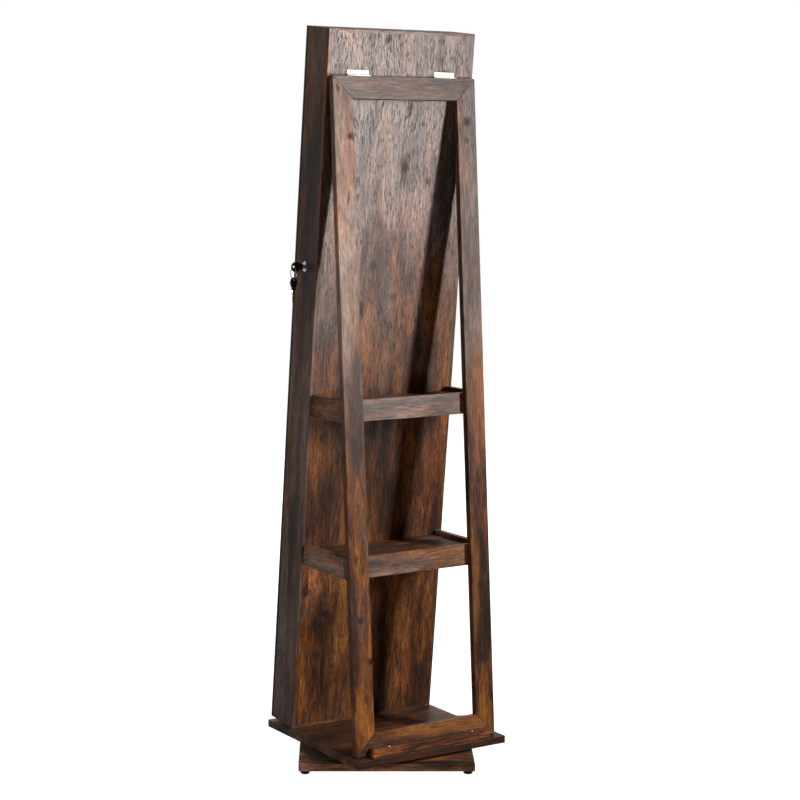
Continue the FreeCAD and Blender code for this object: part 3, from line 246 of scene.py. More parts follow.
def knots(tree, upright, grain, marks):
    """How dark the knots and cracks make each point, from 0 to 1.

    A mark is a centre (x, height) and a width and length in millimetres.  Distance from it is
    measured in widths across and lengths along: 1 inside a core of 0.35, and 0 from 1 on.
    The noise that shifts a point is 0.5 on average, so the centre is moved by half of that.
    """
    rim = add(tree, "ShaderNodeVectorMath",
              {0: upright, 1: stretch(grain, RIM_WIDTH, RIM_LENGTH)}, operation="MULTIPLY")
    rim = add(tree, "ShaderNodeTexNoise", {"Vector": rim, "Scale": 1.0, "Detail": 2.0},
              out="Color")
    shifted = add(tree, "ShaderNodeVectorMath", {0: rim, 1: RIM_SHIFT, 2: upright},
                  operation="MULTIPLY_ADD")
    dark = 0.0
    for x, height, width, length in marks:
        centre = (x*MM + RIM_SHIFT[0]/2, 0.0, height*MM + RIM_SHIFT[2]/2)
        away = add(tree, "ShaderNodeVectorMath", {0: shifted, 1: centre}, operation="SUBTRACT")
        away = add(tree, "ShaderNodeVectorMath", {0: away, 1: (1/(width*MM), 0.0, 1/(length*MM))},
                   operation="MULTIPLY")
        reach = add(tree, "ShaderNodeVectorMath", {0: away}, out="Value", operation="LENGTH")
        spot = add(tree, "ShaderNodeMapRange", {"Value": reach, "From Min": 1.0,
                                                "From Max": KNOT_CORE})
        dark = add(tree, "ShaderNodeMath", {0: dark, 1: spot}, operation="MAXIMUM")
    return dark


def marked(tree, upright, layers, grain, colour, dashes, marks):
    """The colour with its dashes and knots, and how hollow they make each point.

    hollow is the larger of the dashes, up to their own strength, and the broken-up knots.
    """
    hollow = add(tree, "ShaderNodeMapRange", {"Value": layers["dashes"], **DASHES_SHOW,
                                              "To Max": dashes})
    colour = add(tree, "ShaderNodeMix", {0: hollow, 6: colour, 7: linear(DASH_INK)}, out=2,
                 data_type="RGBA")
    if marks:
        broken = add(tree, "ShaderNodeMapRange", {"Value": layers["dashes"],
                                                  **DASHES_BREAK_KNOTS})
        knotty = add(tree, "ShaderNodeMath", {0: knots(tree, upright, grain, marks), 1: broken},
                     operation="MULTIPLY")
        inked = add(tree, "ShaderNodeMath", {0: knotty, 1: KNOT_DEPTH}, operation="MULTIPLY")
        colour = add(tree, "ShaderNodeMix", {0: inked, 6: colour, 7: linear(KNOT_INK)}, out=2,
                     data_type="RGBA")
        hollow = add(tree, "ShaderNodeMath", {0: hollow, 1: knotty}, operation="MAXIMUM")
    return colour, hollow


print("a knot's rim wavers by up to", RIM_SHIFT[0]/2/MM, "mm across and",
      RIM_SHIFT[2]/2/MM, "mm along")

# %% [markdown]
# Melamine foil is pressed on a textured plate, so its skin follows the print: dashes and
# knots are dents of a few tenths of a millimetre and less glossy, and hairs are low ridges.
# That gives raking light the fine, silvery grain that the upper boards show. A flat gloss
# would be simpler, but the glare at the top would then be one smooth patch. Its IOR is that
# of melamine resin, about 1.5, and gloss scales how much it reflects on the duller rails.

# %% Rustic laminate
HAIRS_SPAN = {"From Min": 0.3, "From Max": 0.7}
HAIR_DARK, HAIR_LIGHT = 0.75, 1.23
MATT_ROUGHNESS, SILK_ROUGHNESS = 0.54, 0.44
HOLLOW_ROUGHNESS = 0.26
RIDGE_HEIGHT = 0.6
EMBOSS_DEPTH, EMBOSS_STRENGTH = 0.45*MM, 0.6


def rustic_laminate(name, turn, grain, seed, grey=0.0, grey_climb_and_sheen=0.0, dashes=0.5, print_and_painted_light=1.0,
                    gloss=0.35, marks=()):
    """The printed foil of one board.

    turn sets a leaning board upright, so that the grain runs along an axis, and seed, in
    metres, moves it to its own place in the print.  The hairs vary the colour from 0.75 to
    1.23 times a brightness factor, which is partly the sheet's print and partly painted light.
    relief = 0.6 hairs - hollow, and roughness = 0.54 to 0.44 over the hairs + 0.26 hollow.
    """
    material, tree, shader = new_material(name)
    source = add(tree, "ShaderNodeTexCoord", out="Object")
    upright = add(tree, "ShaderNodeMapping", {"Vector": source, "Rotation": turn})
    place = add(tree, "ShaderNodeVectorMath", {0: upright, 1: seed}, operation="ADD")
    height = add(tree, "ShaderNodeSeparateXYZ", {"Vector": upright}, out="Z")
    layers = foil_layers(tree, place, grain)
    colour = printed_colour(tree, layers, height, grey, grey_climb_and_sheen)
    colour, hollow = marked(tree, upright, layers, grain, colour, dashes, marks)
    # the brightness factor is partly the sheet's print and partly painted light: brighter on the
    # trays' sides, the cleat and the base, as if lit from the floor, and darker on the deck's top
    light = add(tree, "ShaderNodeMapRange",
                {"Value": layers["hairs"], **HAIRS_SPAN, "To Min": HAIR_DARK*print_and_painted_light,
                 "To Max": HAIR_LIGHT*print_and_painted_light})
    colour = add(tree, "ShaderNodeMix", {0: 1.0, 6: colour, 7: light}, out=2,
                 data_type="RGBA", blend_type="MULTIPLY")
    tree.links.new(colour, shader.inputs["Base Color"])

    ridges = add(tree, "ShaderNodeMath", {0: layers["hairs"], 1: RIDGE_HEIGHT},
                 operation="MULTIPLY")
    relief = add(tree, "ShaderNodeMath", {0: hollow, 1: -1.0, 2: ridges},
                 operation="MULTIPLY_ADD")
    bump = add(tree, "ShaderNodeBump", {"Height": relief, "Strength": EMBOSS_STRENGTH,
                                        "Distance": EMBOSS_DEPTH})
    tree.links.new(bump, shader.inputs["Normal"])
    silk = add(tree, "ShaderNodeMapRange",
               {"Value": layers["hairs"], **HAIRS_SPAN, "To Min": MATT_ROUGHNESS,
                "To Max": SILK_ROUGHNESS})
    rough = add(tree, "ShaderNodeMath", {0: hollow, 1: HOLLOW_ROUGHNESS, 2: silk},
                operation="MULTIPLY_ADD")
    tree.links.new(rough, shader.inputs["Roughness"])
    shader.inputs["IOR"].default_value = 1.5
    shader.inputs["Specular IOR Level"].default_value = gloss
    return material


print("laminate skin: dents of", EMBOSS_DEPTH/MM, "mm at most")

# %% [markdown]
# Knots and cracks show on the case's back and on the two posts of the rear frame. They are
# listed where they lie on the real boards, each with its place across, its height, its width
# and its length in millimetres. Scattering them at random would be less work, but a few
# known marks are what the eye compares first.

# %% Marks on the boards
BACK_MARKS = [(63, 1537, 3, 9), (36, 1531, 8, 14), (-11, 1502, 4, 16), (-100, 1528, 2.5, 16),
              (-103, 1482, 2.5, 34), (-107, 1466, 18, 9), (-84, 1234, 13, 13), (-27, 1388, 12, 24),
              (-23, 1266, 13, 30), (-34, 1289, 2.5, 22), (-25, 1240, 3, 18), (42, 1057, 15, 19),
              (-11, 988, 13, 15), (68, 961, 14, 22), (143, 690, 13, 21), (-13, 629, 4, 13),
              (17, 696, 18, 24), (164, 352, 12, 20), (130, 201, 15, 19), (139, 275, 7, 26),
              (115, 297, 17, 12), (-36, 1063, 3, 20)]
LOCK_POST_MARKS = [(165, 1422, 8, 10), (138, 1325, 12, 13), (148, 1194, 4, 12), (156, 324, 9, 10),
                   (135, 235, 10, 12), (161, 452, 7, 16), (148, 157, 6, 15)]
HINGE_POST_MARKS = [(-154, 1359, 12, 14), (-152, 1317, 8, 10), (-153, 365, 12, 14),
                    (-168, 276, 11, 9), (-152, 210, 12, 20), (-156, 592, 6, 12)]
print("marks on the back", len(BACK_MARKS), "and on the posts", len(LOCK_POST_MARKS),
      len(HINGE_POST_MARKS))

# %% [markdown]
# Each board is cut from another sheet, so each gets its own place in the print. The case and
# its back are upright planks; the rails and the cleat run across; the trays' sides run from
# front to back. One material for all would be quicker, but then the same patches would show
# side by side. grey weathers a board, and the climb makes that grow with height, partly as
# weathered print and partly as painted sheen on the upper boards. A plain factor scales each
# board's brightness: partly a sheet printed lighter or darker, and partly painted light, which
# brightens the trays' sides, the cleat and the base as if light bounced up from the floor, and
# darkens the deck's top, which gets little light.

# %% Dress the boards
# the climb and the brightness factor of these boards carry painted light along with the print:
# sheen at the top of the back and the posts, floor light on the low boards, shade on the deck's
# top
BOARDS = {
    "case_back": dict(turn=CASE_UPRIGHT, grain="Z", seed=(0.3, 1.7, 2.1), grey=-0.15, grey_climb_and_sheen=0.86,
                      dashes=0.75, marks=BACK_MARKS),
    "case_side_lock": dict(turn=CASE_UPRIGHT, grain="Z", seed=(3.3, 4.7, 0.4), grey=0.16,
                           grey_climb_and_sheen=-0.14, dashes=0.35, print_and_painted_light=0.92),
    "case_side_hinge": dict(turn=CASE_UPRIGHT, grain="Z", seed=(5.1, 2.2, 1.4), grey=0.04,
                            dashes=0.35),
    "case_top": dict(turn=CASE_UPRIGHT, grain="X", seed=(7.3, 0.2, 3.1), grey=0.10),
    "case_bottom": dict(turn=CASE_UPRIGHT, grain="X", seed=(1.9, 6.2, 3.7)),
    "frame_post_lock_side": dict(turn=FRAME_UPRIGHT, grain="Z", seed=(8.8, 3.3, 5.2), grey=-0.03,
                                 grey_climb_and_sheen=0.30, dashes=0.3, print_and_painted_light=1.15, gloss=0.25,
                                 marks=LOCK_POST_MARKS),
    "frame_post_hinge_side": dict(turn=FRAME_UPRIGHT, grain="Z", seed=(2.4, 8.6, 6.9), grey=-0.03,
                                  grey_climb_and_sheen=0.40, dashes=0.3, print_and_painted_light=0.9, gloss=0.23,
                                  marks=HINGE_POST_MARKS),
    "frame_top_rail": dict(turn=FRAME_UPRIGHT, grain="X", seed=(6.1, 5.8, 0.9), dashes=0.3,
                           print_and_painted_light=0.5, gloss=0.24),
    "frame_foot_rail": dict(turn=FRAME_UPRIGHT, grain="X", seed=(4.4, 7.1, 8.3), grey=-0.12,
                            dashes=0.3, print_and_painted_light=0.85),
    "foot_cleat": dict(turn=LEVEL, grain="X", seed=(9.9, 1.1, 2.2), grey=-0.12, dashes=0.3,
                       print_and_painted_light=1.95),
    "upper_tray_sides": dict(turn=LEVEL, grain="Y", seed=(0.7, 9.3, 4.1), dashes=0.3, print_and_painted_light=1.25),
    "upper_tray_rear": dict(turn=LEVEL, grain="X", seed=(1.6, 3.9, 7.4), grey=0.12, dashes=0.3,
                            print_and_painted_light=1.15),
    "upper_tray_floor": dict(turn=LEVEL, grain="X", seed=(2.8, 5.5, 9.2)),
    "lower_tray_sides": dict(turn=LEVEL, grain="Y", seed=(3.9, 0.6, 6.6), dashes=0.3, print_and_painted_light=2.0),
    "lower_tray_rear": dict(turn=LEVEL, grain="X", seed=(5.7, 2.7, 3.2), grey=0.08, dashes=0.3,
                            print_and_painted_light=1.2),
    "lower_tray_floor": dict(turn=LEVEL, grain="X", seed=(6.9, 4.2, 1.1)),
    "tray_battens": dict(turn=LEVEL, grain="X", seed=(8.1, 6.4, 5.5)),
    "turntable_board": dict(turn=LEVEL, grain="X", seed=(4.1, 0.9, 7.7), grey=-0.10, dashes=0.3,
                            print_and_painted_light=0.75),
    "base_board": dict(turn=BASE_SQUARE, grain="X", seed=(7.6, 8.4, 0.3), grey=0.06, dashes=0.3,
                       print_and_painted_light=2.0),
}
for node, look in BOARDS.items():
    dress(rustic_laminate("Rustic laminate " + node, **look), node)
print("boards dressed", len(BOARDS))

# %% [markdown]
# The small metal parts are steel, or brass for the keys, under a thin coat. A coat of metal
# mirrors nearly all light, so metallic is 1, and a metal keeps the default IOR. What tells the
# coats apart is their roughness and a faint smear left by handling, a few millimetres wide,
# which also pales their colour here and there. A plain shiny grey would look like plastic.

# %% Plated metals
PALE_SMEAR = 0.12


def plated(name, colour, roughness, smear=0.08, cloud=3.0):
    """A metal coat: roughness + smear times a noise, whose clouds are some millimetres wide."""
    material, tree, shader = new_material(name)
    source = add(tree, "ShaderNodeTexCoord", out="Object")
    clouds = add(tree, "ShaderNodeTexNoise", {"Vector": source, "Scale": 1/(cloud*MM),
                                              "Detail": 2.0}, out="Fac")
    pale = add(tree, "ShaderNodeMath", {0: clouds, 1: PALE_SMEAR}, operation="MULTIPLY")
    tint = add(tree, "ShaderNodeMix", {0: pale, 6: linear(colour), 7: linear("#ffffff")}, out=2,
               data_type="RGBA")
    rough = add(tree, "ShaderNodeMapRange", {"Value": clouds, "To Min": roughness,
                                             "To Max": roughness + smear})
    tree.links.new(tint, shader.inputs["Base Color"])
    tree.links.new(rough, shader.inputs["Roughness"])
    shader.inputs["Metallic"].default_value = 1.0
    print(name, "roughness", roughness, "to", round(roughness + smear, 2))
    return material


# polished before it is plated, so it shows sharp dark and bright reflections
chrome = plated("Chrome plate", "#e4e6e8", 0.08)
# plated over tumbled steel, so it shows one wide pale sheen and no picture
nickel = plated("Satin nickel plated steel", "#b4b1ab", 0.56)
# plated over punched steel and passivated, so it is bluish and half dull
zinc = plated("Zinc plated steel", "#b9bcc0", 0.30)
# ground and lapped, so each ball carries one bright dot
steel_ball = plated("Bearing steel", "#d3d5d8", 0.06)
# dipped before it is pressed, so it looks cloudy, with wider clouds
race_steel = plated("Galvanised race", "#a9acb0", 0.36, smear=0.12, cloud=6.0)
# a plated brass blank, softly polished, so it is bright and a little yellow
key_brass = plated("Nickel plated brass key", "#cfccc2", 0.20)
dress(chrome, "lock_body", "lock_plug", "key_ring")
dress(nickel, "door_hinge_case_leaves", "door_hinge_door_leaves", "door_hinge_pins",
      "frame_hinge_case_leaves", "frame_hinge_frame_leaves", "frame_hinge_pins",
      "frame_hinge_screws")
dress(zinc, "lock_nut", "lock_cam", "cam_screw", "lock_keeper", "case_foot_screws",
      "tray_screws", "bearing_base_screws", "bearing_top_screws", "cleat_screws")
dress(steel_ball, "bearing_balls")
dress(race_steel, "bearing_outer_ring", "bearing_inner_ring")
dress(key_brass, "key_blade", "spare_key_blade")

# %% [markdown]
# Black plastic mouldings, rubber feet, painted board and the foil on the door's profile are
# all dark and differ in how they scatter light. Only the bearing's cage is white. A mould or
# a roller leaves a grain about half a millimetre to a millimetre wide, drawn here as a bump,
# and broad clouds of a slightly paler colour keep a black part from looking like a hole. One
# function serves them all, because they differ in colour, gloss and grain and in no other way.

# %% Plastics, rubber and paint
CLOUD_WIDTH = 40
CLOUD_DEPTH = 0.25


def moulded(name, colour, roughness, grain=0.6, depth=0.06, pale="#3a3836"):
    """A moulded, wrapped or rolled skin: grain and depth of its texture are in millimetres.

    The colour goes to a quarter of the way to pale, and roughness rises by 0.10, with a noise
    whose clouds are 40 mm wide.
    """
    material, tree, shader = new_material(name)
    source = add(tree, "ShaderNodeTexCoord", out="Object")
    fine = add(tree, "ShaderNodeTexNoise", {"Vector": source, "Scale": 1/(grain*MM),
                                            "Detail": 2.0}, out="Fac")
    clouds = add(tree, "ShaderNodeTexNoise", {"Vector": source, "Scale": 1/(CLOUD_WIDTH*MM),
                                              "Detail": 2.0}, out="Fac")
    drift = add(tree, "ShaderNodeMath", {0: clouds, 1: CLOUD_DEPTH}, operation="MULTIPLY")
    tint = add(tree, "ShaderNodeMix", {0: drift, 6: linear(colour), 7: linear(pale)}, out=2,
               data_type="RGBA")
    rough = add(tree, "ShaderNodeMapRange", {"Value": clouds, "To Min": roughness,
                                             "To Max": roughness + 0.10})
    bump = add(tree, "ShaderNodeBump", {"Height": fine, "Strength": 0.4, "Distance": depth*MM})
    tree.links.new(tint, shader.inputs["Base Color"])
    tree.links.new(rough, shader.inputs["Roughness"])
    tree.links.new(bump, shader.inputs["Normal"])
    print(name, "grain", grain, "mm")
    return material


# moulded nylon: a semi-gloss that shows the edge of a key's grip
nylon = moulded("Black nylon", "#141313", 0.38)
# foil wrapped round a profile: satin, with one long highlight down each edge
profile_foil = moulded("Black foil profile", "#161413", 0.34)
# moulded polypropylene: waxy and a shade paler than the nylon
polypropylene = moulded("Black polypropylene", "#191818", 0.45)
# moulded acetal: milk white and slippery
acetal = moulded("Acetal cage", "#d8d5cc", 0.40, pale="#ffffff")
# moulded rubber: matt, with a coarse grain
rubber = moulded("Black rubber", "#101010", 0.70, grain=0.9, depth=0.10)
# rolled paint on fibreboard: dull, with the roller's dimples
painted_board = moulded("Painted fibreboard", "#1a1716", 0.55, grain=1.1)
dress(nylon, "key_head", "spare_key_head")
dress(profile_foil, "door_stile_lock", "door_stile_hinge", "door_rail_top", "door_rail_bottom")
dress(polypropylene, "inner_shelf_upper", "inner_shelf_lower", "necklace_hook_strip",
      "earring_rack", "bracelet_rod")
dress(acetal, "bearing_cage")
dress(rubber, "base_feet")
dress(painted_board, "door_panel")

# %% [markdown]
# The mirror is float glass silvered on its back, so it throws back nearly all light with a
# faint green from the glass. Real glass over a metal sheet would show that too, but one
# metallic surface looks the same from the front and gives no double edges. A haze of polish,
# in patches about 90 mm wide, roughens it very slightly.

# %% Mirror
HAZE_WIDTH = 90
silvered_glass, tree, shader = new_material("Silvered float glass")
source = add(tree, "ShaderNodeTexCoord", out="Object")
haze = add(tree, "ShaderNodeTexNoise", {"Vector": source, "Scale": 1/(HAZE_WIDTH*MM),
                                        "Detail": 2.0}, out="Fac")
rough = add(tree, "ShaderNodeMapRange", {"Value": haze, "To Min": 0.01, "To Max": 0.03})
tint = add(tree, "ShaderNodeMix", {0: haze, 6: linear("#e9f0ec"), 7: linear("#eef3f0")}, out=2,
           data_type="RGBA")
tree.links.new(tint, shader.inputs["Base Color"])
tree.links.new(rough, shader.inputs["Roughness"])
shader.inputs["Metallic"].default_value = 1.0
dress(silvered_glass, "mirror_glass")
print("mirror dressed, haze", HAZE_WIDTH, "mm wide")

# %% [markdown]
# The inside is lined with flocked board, and the rolls for rings wear velvet: short black
# fibres stand on both, so they drink light and show a soft rim. Hair strands could do that,
# but they would be far finer than a pixel, so sheen does it, over a nearly black base. Areas
# brushed one way look paler, and the nap itself is a bump a little under a millimetre wide,
# coarser than real fibres so that it shows.

# %% Flock and velvet
BRUSHED_WIDTH = 55


def flocked(name, colour, rim, nap=0.8):
    """A pile: a dark base that drifts towards its rim colour, sheen, and a nap in millimetres."""
    material, tree, shader = new_material(name)
    source = add(tree, "ShaderNodeTexCoord", out="Object")
    fibres = add(tree, "ShaderNodeTexNoise", {"Vector": source, "Scale": 1/(nap*MM),
                                              "Detail": 3.0}, out="Fac")
    brushed = add(tree, "ShaderNodeTexNoise", {"Vector": source, "Scale": 1/(BRUSHED_WIDTH*MM),
                                               "Detail": 3.0}, out="Fac")
    drift = add(tree, "ShaderNodeMath", {0: brushed, 1: 0.6}, operation="MULTIPLY")
    tint = add(tree, "ShaderNodeMix", {0: drift, 6: linear(colour), 7: linear(rim)}, out=2,
               data_type="RGBA")
    bump = add(tree, "ShaderNodeBump", {"Height": fibres, "Strength": 0.6, "Distance": 0.3*MM})
    tree.links.new(tint, shader.inputs["Base Color"])
    tree.links.new(bump, shader.inputs["Normal"])
    shader.inputs["Roughness"].default_value = 0.92
    shader.inputs["Sheen Weight"].default_value = 0.5
    shader.inputs["Sheen Roughness"].default_value = 0.4
    print(name, "nap", nap, "mm")
    return material


# sprayed fibres on board: even and very dull
flock = flocked("Flocked lining", "#141315", "#302d32")
# woven pile: finer, with a brighter rim where a roll turns away
velvet = flocked("Black velvet", "#141215", "#343138", nap=0.6)
dress(flock, "case_lining")
dress(velvet, "ring_cushion")

# %% [markdown]
# New pieces are surfaces worked out with numpy: a grid of points from two parameters, whose
# second parameter runs round the piece. Each end is closed with one point. They are drawn in
# the case's own upright frame and leaned with it, which is easier than drawing them leaning.
# The helper joins several such skins into one mesh and hangs it on the body that carries it.

# %% Surface helpers
def in_case(points):
    """Millimetres in the leaning case's frame, any number of points at once, to metres.

    y and z are turned by the case's lean about X, and then set on the case's foot.
    """
    x, y, z = np.moveaxis(np.asarray(points, float), -1, 0)
    c, s = math.cos(CASE_LEAN), math.sin(CASE_LEAN)
    return np.stack([x*MM, (y*c + z*s)*MM - CASE_FOOT_AHEAD, (z*c - y*s)*MM + DECK_TOP], axis=-1)


def skin(rings):
    """Points, quads and triangles of one closed skin.

    rings has the shape (along, round, 3). Neighbouring rings are joined by quads, and the
    first and last ring by triangles to their own middles.
    """
    along, around = rings.shape[:2]
    first_middle, last_middle = rings[:1].mean(axis=1), rings[-1:].mean(axis=1)
    points = np.concatenate([rings.reshape(-1, 3), first_middle, last_middle])
    index = np.arange(along*around).reshape(along, around)
    here, there = index[:-1], index[1:]
    quads = np.stack([here, np.roll(here, -1, 1), np.roll(there, -1, 1), there], axis=-1)
    first = np.stack([np.roll(index[0], -1), index[0], np.full(around, along*around)], axis=-1)
    last = np.stack([index[-1], np.roll(index[-1], -1), np.full(around, along*around + 1)],
                    axis=-1)
    return points, quads.reshape(-1, 4), np.concatenate([first, last])


def piece_in_case(name, skins, material, body):
    """One smooth object from several skins, riding on a body."""
    points = np.concatenate([in_case(skin_points) for skin_points, _, _ in skins])
    starts = np.cumsum([0] + [len(skin_points) for skin_points, _, _ in skins])
    faces = []
    for start, (_, quads, triangles) in zip(starts, skins):
        faces += (quads + start).tolist() + (triangles + start).tolist()
    mesh = bpy.data.meshes.new(name)
    mesh.from_pydata(points.tolist(), [], faces)
    mesh.polygons.foreach_set("use_smooth", np.ones(len(mesh.polygons), bool))
    mesh.materials.append(material)
    mesh.update()
    made = bpy.data.objects.new(name, mesh)
    bpy.context.collection.objects.link(made)
    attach(made, body)
    print(name, len(mesh.vertices), "points", len(mesh.polygons), "faces")
    return made


print("a point 1 m up the case is", round(in_case((0, 0, 1000))[1]/MM, 1), "mm behind the axis")

# %% [markdown]
# The ring cushion is eight rolls of foam, each sewn into velvet and laid side by side on a
# padded board, so that a ring's band slips between two of them. A plain cylinder would look
# like pipe: foam swells in the middle of a roll, and the cloth is gathered where its ends
# are closed. So the radius follows a flat-topped curve, with small pleats near the ends. A
# cloth simulation could give this too, but each roll is small and its form is simple.

# %% Rolls of foam
ROLL_COUNT, ROLL_PITCH, ROLL_RADIUS = 8, 22.0, 11.5
ROLL_LEFT, ROLL_RIGHT, ROLL_BOTTOM = -160.0, -6.0, 880.0
ROLL_CORE = -14.5
CLOTH_CLEARANCE = 0.25
END_ROUNDING, END_POWER = 10, 0.4
PLEAT_COUNT, PLEAT_DEPTH, PLEAT_REACH = 11, 0.07, 14
SWELL_DEPTH, SWELL_WAVES = 0.012, 5.0
PLEAT_TURN = 1.7
# the last ring stops just short of the end, where the radius would be nothing
END_RING = 0.9985
ROLL_RINGS, ROLL_CORNERS = 49, 56


def foam_roll(middle, phase):
    """A roll along X at a given height, from t = -1 to 1 along and v round it.

    radius = R (1 - |t|^10)^0.4, times a pleat wave 1 - 0.07 (0.5 + 0.5 cos(11 v)) |t|^14
    that only grows near the ends, times a slow swell 1 - 0.012 (1 + sin(5 t)).
    """
    t = np.sin(np.linspace(-math.pi/2, math.pi/2, ROLL_RINGS))[:, None]*END_RING
    v = np.linspace(0, 2*math.pi, ROLL_CORNERS, endpoint=False)[None, :]
    pleats = (0.5 + 0.5*np.cos(PLEAT_COUNT*v + phase))*np.abs(t)**PLEAT_REACH
    radius = (ROLL_RADIUS - CLOTH_CLEARANCE)*(1 - np.abs(t)**END_ROUNDING)**END_POWER
    radius = radius*(1 - PLEAT_DEPTH*pleats)
    radius = radius*(1 - SWELL_DEPTH*(1 + np.sin(SWELL_WAVES*t + phase)))
    x = (ROLL_LEFT + ROLL_RIGHT)/2 + (ROLL_RIGHT - ROLL_LEFT)/2*t + 0*v
    return skin(np.stack([x, ROLL_CORE - radius*np.sin(v), middle + radius*np.cos(v)], axis=-1))


rolls = [foam_roll(ROLL_BOTTOM + ROLL_RADIUS + index*ROLL_PITCH, PLEAT_TURN*index)
         for index in range(ROLL_COUNT)]
print("rolls", len(rolls), "of", ROLL_RIGHT - ROLL_LEFT, "mm")

# %% [markdown]
# The padded board behind the rolls is a board with its velvet wrapped round it, so its edges
# are soft but its faces flat. A box with a bevel would do, but a superellipse gives the same
# form as the rolls are given, by one formula.

# %% Ring cushion
LINED_BACK = -6.5
FACE_FLATNESS, EDGE_FLATNESS = 0.35, 0.12
SIDE_ROUNDING, SIDE_POWER, SIDE_DRAW = 26, 0.25, 0.015
BOARD_RINGS, BOARD_CORNERS = 33, 64


def padded_board():
    """A rounded box from t = -1 to 1 along X and v round it.

    shrink = (1 - |t|^26)^0.25 draws the ends in, y = depth shrink sign(sin v) |sin v|^0.35,
    and z = height (0.985 + 0.015 shrink) sign(cos v) |cos v|^0.12.
    """
    t = np.sin(np.linspace(-math.pi/2, math.pi/2, BOARD_RINGS))[:, None]
    v = np.linspace(0, 2*math.pi, BOARD_CORNERS, endpoint=False)[None, :]
    tall = (ROLL_PITCH*(ROLL_COUNT - 1) + 2*ROLL_RADIUS)/2
    deep = (LINED_BACK - ROLL_CORE)/2
    shrink = (1 - np.abs(t)**SIDE_ROUNDING)**SIDE_POWER
    across = np.sign(np.sin(v))*np.abs(np.sin(v))**FACE_FLATNESS
    upward = np.sign(np.cos(v))*np.abs(np.cos(v))**EDGE_FLATNESS
    x = (ROLL_LEFT + ROLL_RIGHT)/2 + (ROLL_RIGHT - ROLL_LEFT)/2*t + 0*v
    y = (LINED_BACK + ROLL_CORE)/2 - deep*shrink*across
    z = ROLL_BOTTOM + tall + tall*(1 - SIDE_DRAW + SIDE_DRAW*shrink)*upward
    return skin(np.stack([x, y, z], axis=-1))


ring_rolls = piece_in_case("ring_rolls", [padded_board()] + rolls, velvet, "cabinet")
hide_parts("ring_cushion")

# %% [markdown]
# The room is a plain white studio. Its floor glows white for the camera and is hidden from
# other rays, because in the photograph the ground is cut out and throws no light. A lit white
# floor would be more natural, but it would brighten the boards' undersides.

# %% Studio floor
FLOOR_HALF = 6.0
floor_corners = FLOOR_HALF*np.array([(-1, -1, 0), (1, -1, 0), (1, 1, 0), (-1, 1, 0)], float)
floor_mesh = bpy.data.meshes.new("floor")
floor_mesh.from_pydata(floor_corners.tolist(), [], [(0, 1, 2, 3)])
floor = bpy.data.objects.new("floor", floor_mesh)
bpy.context.collection.objects.link(floor)
floor_paint, tree, shader = new_material("White studio floor")
shader.inputs["Base Color"].default_value = linear("#959595")
shader.inputs["Roughness"].default_value = 0.9
shader.inputs["Emission Color"].default_value = linear("#ffffff")
shader.inputs["Emission Strength"].default_value = 1.0
floor_mesh.materials.append(floor_paint)
floor.visible_diffuse = False
floor.visible_glossy = False
print("floor", 2*FLOOR_HALF, "m wide")

# %% [markdown]
# The world's light does three jobs, told apart by the kind of ray. The camera sees plain
# white. The boards get hardly any light from it, so the shadows stay as deep as in the
# photograph. Glossy rays that go forwards, as the mirror's do, see a room: a pale wall above a
# darker floor, lighter towards one side. Without it the mirror would look black. A modelled
# room would be truer, but it would need walls that the camera must not see.

# %% Surround
WHITE = (1.0, 1.0, 1.0, 1.0)
WORLD_WARM, WORLD_STRENGTH = (1.0, 0.94, 0.88, 1.0), 0.065
ROOM_COOL = (0.96, 0.98, 1.0, 1.0)
MIRROR_FRONT, ROOM_UP = (-0.35, -1.0, 0.0), (-0.22, 0.0, 1.0)
FRONT_SHOWS = {"From Min": 0.35, "From Max": 0.85}
FLOOR_TO_WALL = {"From Min": -0.75, "From Max": 0.40, "To Min": 0.16, "To Max": 0.86}

world = bpy.data.worlds.new("Studio")
bpy.context.scene.world = world
world.use_nodes = True
sky = world.node_tree
sky.nodes.clear()
backdrop = add(sky, "ShaderNodeBackground", {"Color": WHITE, "Strength": 1.0})
ambient = add(sky, "ShaderNodeBackground", {"Color": WORLD_WARM, "Strength": WORLD_STRENGTH})
gaze = add(sky, "ShaderNodeTexCoord", out="Generated")
facing = add(sky, "ShaderNodeVectorMath", {0: gaze, 1: MIRROR_FRONT}, out="Value",
             operation="DOT_PRODUCT")
in_front = add(sky, "ShaderNodeMapRange", {"Value": facing, **FRONT_SHOWS})
slope = add(sky, "ShaderNodeVectorMath", {0: gaze, 1: ROOM_UP}, out="Value",
            operation="DOT_PRODUCT")
wall = add(sky, "ShaderNodeMapRange", {"Value": slope, **FLOOR_TO_WALL},
           interpolation_type="SMOOTHSTEP")
reflected = add(sky, "ShaderNodeMath", {0: in_front, 1: wall}, operation="MULTIPLY")
room = add(sky, "ShaderNodeBackground", {"Color": ROOM_COOL, "Strength": reflected})
mirror_view = add(sky, "ShaderNodeAddShader", {0: ambient, 1: room})
rays = add(sky, "ShaderNodeLightPath", out=None)
unseen = add(sky, "ShaderNodeMixShader", {0: rays.outputs["Is Glossy Ray"], 1: ambient,
                                          2: mirror_view})
choice = add(sky, "ShaderNodeMixShader", {0: rays.outputs["Is Camera Ray"], 1: unseen,
                                          2: backdrop})
add(sky, "ShaderNodeOutputWorld", {"Surface": choice}, out=None)
bpy.context.scene.view_settings.view_transform = "Standard"
print("world nodes", len(sky.nodes))

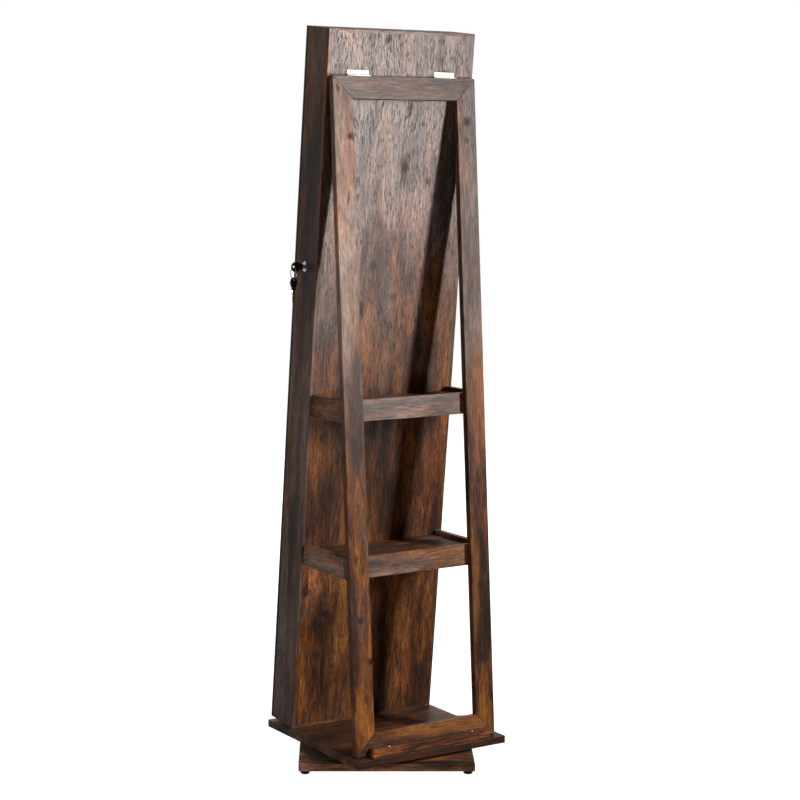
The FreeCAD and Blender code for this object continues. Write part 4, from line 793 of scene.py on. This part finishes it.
# %% [markdown]
# The cabinet is lit as a product is in a studio. A tall narrow softbox behind it, far to one
# side, is the main light: narrow, it lets the frame throw crisp shadows on the case's back, and
# tall, it softens those under the trays. Next to it a card with a grid sends a narrow beam that
# only shows as sheen on the foil, pale at the top and fading downwards. A low card and a small
# one on the deck lift the shadows under the trays, a weak box lights the lock's side, and a
# large one the mirror's side. Many soft lights would be simpler, but they would fill the
# shadows that show how far the frame stands off the case. The lamps are placed for the
# photograph and stand still when the cabinet turns.

# %% Lights
def softbox(name, place, target, width, height, watts, hidden_from=()):
    """A rectangular lamp at place, turned to face target, in metres.

    hidden_from names the kinds of ray that pass through it: camera, diffuse or glossy.
    """
    lamp = bpy.data.lights.new(name, "AREA")
    lamp.shape = "RECTANGLE"
    lamp.size, lamp.size_y = width, height
    lamp.energy = watts
    made = bpy.data.objects.new(name, lamp)
    bpy.context.collection.objects.link(made)
    made.location = place
    made.rotation_euler = (Vector(target) - Vector(place)).to_track_quat("-Z", "Y").to_euler()
    for ray in hidden_from:
        setattr(made, "visible_" + ray, False)
    print(name, watts, "W from", round((Vector(target) - Vector(place)).length, 2), "m")
    return made


softbox("key_softbox", (-1.48, 2.65, 1.95), (0.0, 0.0, 0.9), 0.34, 1.5, 119.0)
glare_card = softbox("glare_card", (-1.52, 2.72, 0.92), (0.2, 0.1, 1.46), 0.3, 0.7, 4.9,
                     hidden_from=["diffuse"])
glare_card.data.spread = math.radians(26)
glare_card.data.color = (1.0, 0.91, 0.87)
softbox("bounce_card", (1.0, 2.2, 0.12), (0.1, 0.1, 0.4), 1.0, 0.4, 12.0,
        hidden_from=["camera", "glossy"])
low_card = softbox("low_card", (0.1, 0.08, 0.3), (0.16, -0.07, 0.5), 0.1, 0.1, 0.2,
                   hidden_from=["camera", "glossy"])
low_card.data.spread = math.radians(110)
softbox("front_softbox", (-0.9, -4.0, 2.3), (0.0, 0.0, 0.8), 1.2, 1.6, 280.0,
        hidden_from=["glossy"])
softbox("side_fill", (2.8, 0.0, 0.45), (0.0, 0.0, 0.5), 0.8, 0.8, 17.0,
        hidden_from=["camera"])

# %% [markdown]
# The camera stands where the photographer's did. One camera fitted to the corners of the
# case, frame, trays and boards gave its place, its aim and a focal length of 2056 pixels for
# an 800 pixel frame: it looks down by PITCH, and ROLL turns the picture. Aiming it by eye
# would be quicker, but then no proportion could be compared with the photograph.

# %% Camera
PHOTO_SIDE_PX = 800.0
FOCAL_PX = 2056.3
SENSOR_MM = 36.0
CAMERA_PLACE = Vector((2.3747, 3.6809, 1.3252))
AZIMUTH, PITCH, ROLL = (math.radians(angle) for angle in (146.83, 7.19, 0.494))

level = Vector((-math.sin(AZIMUTH), math.cos(AZIMUTH), 0))
ahead = level*math.cos(PITCH) - Vector((0, 0, 1))*math.sin(PITCH)
right = level.cross(Vector((0, 0, 1))).normalized()
up = right.cross(ahead)
rolled_right = right*math.cos(ROLL) + up*math.sin(ROLL)
rolled_up = up*math.cos(ROLL) - right*math.sin(ROLL)
lens = bpy.data.cameras.new("camera")
lens.sensor_width = SENSOR_MM
lens.lens = FOCAL_PX/PHOTO_SIDE_PX*SENSOR_MM
camera = bpy.data.objects.new("camera", lens)
bpy.context.collection.objects.link(camera)
turned = Matrix((rolled_right, rolled_up, -ahead)).transposed().to_4x4()
camera.matrix_world = Matrix.Translation(CAMERA_PLACE) @ turned
bpy.context.scene.camera = camera
print("lens", round(lens.lens, 2), "mm")
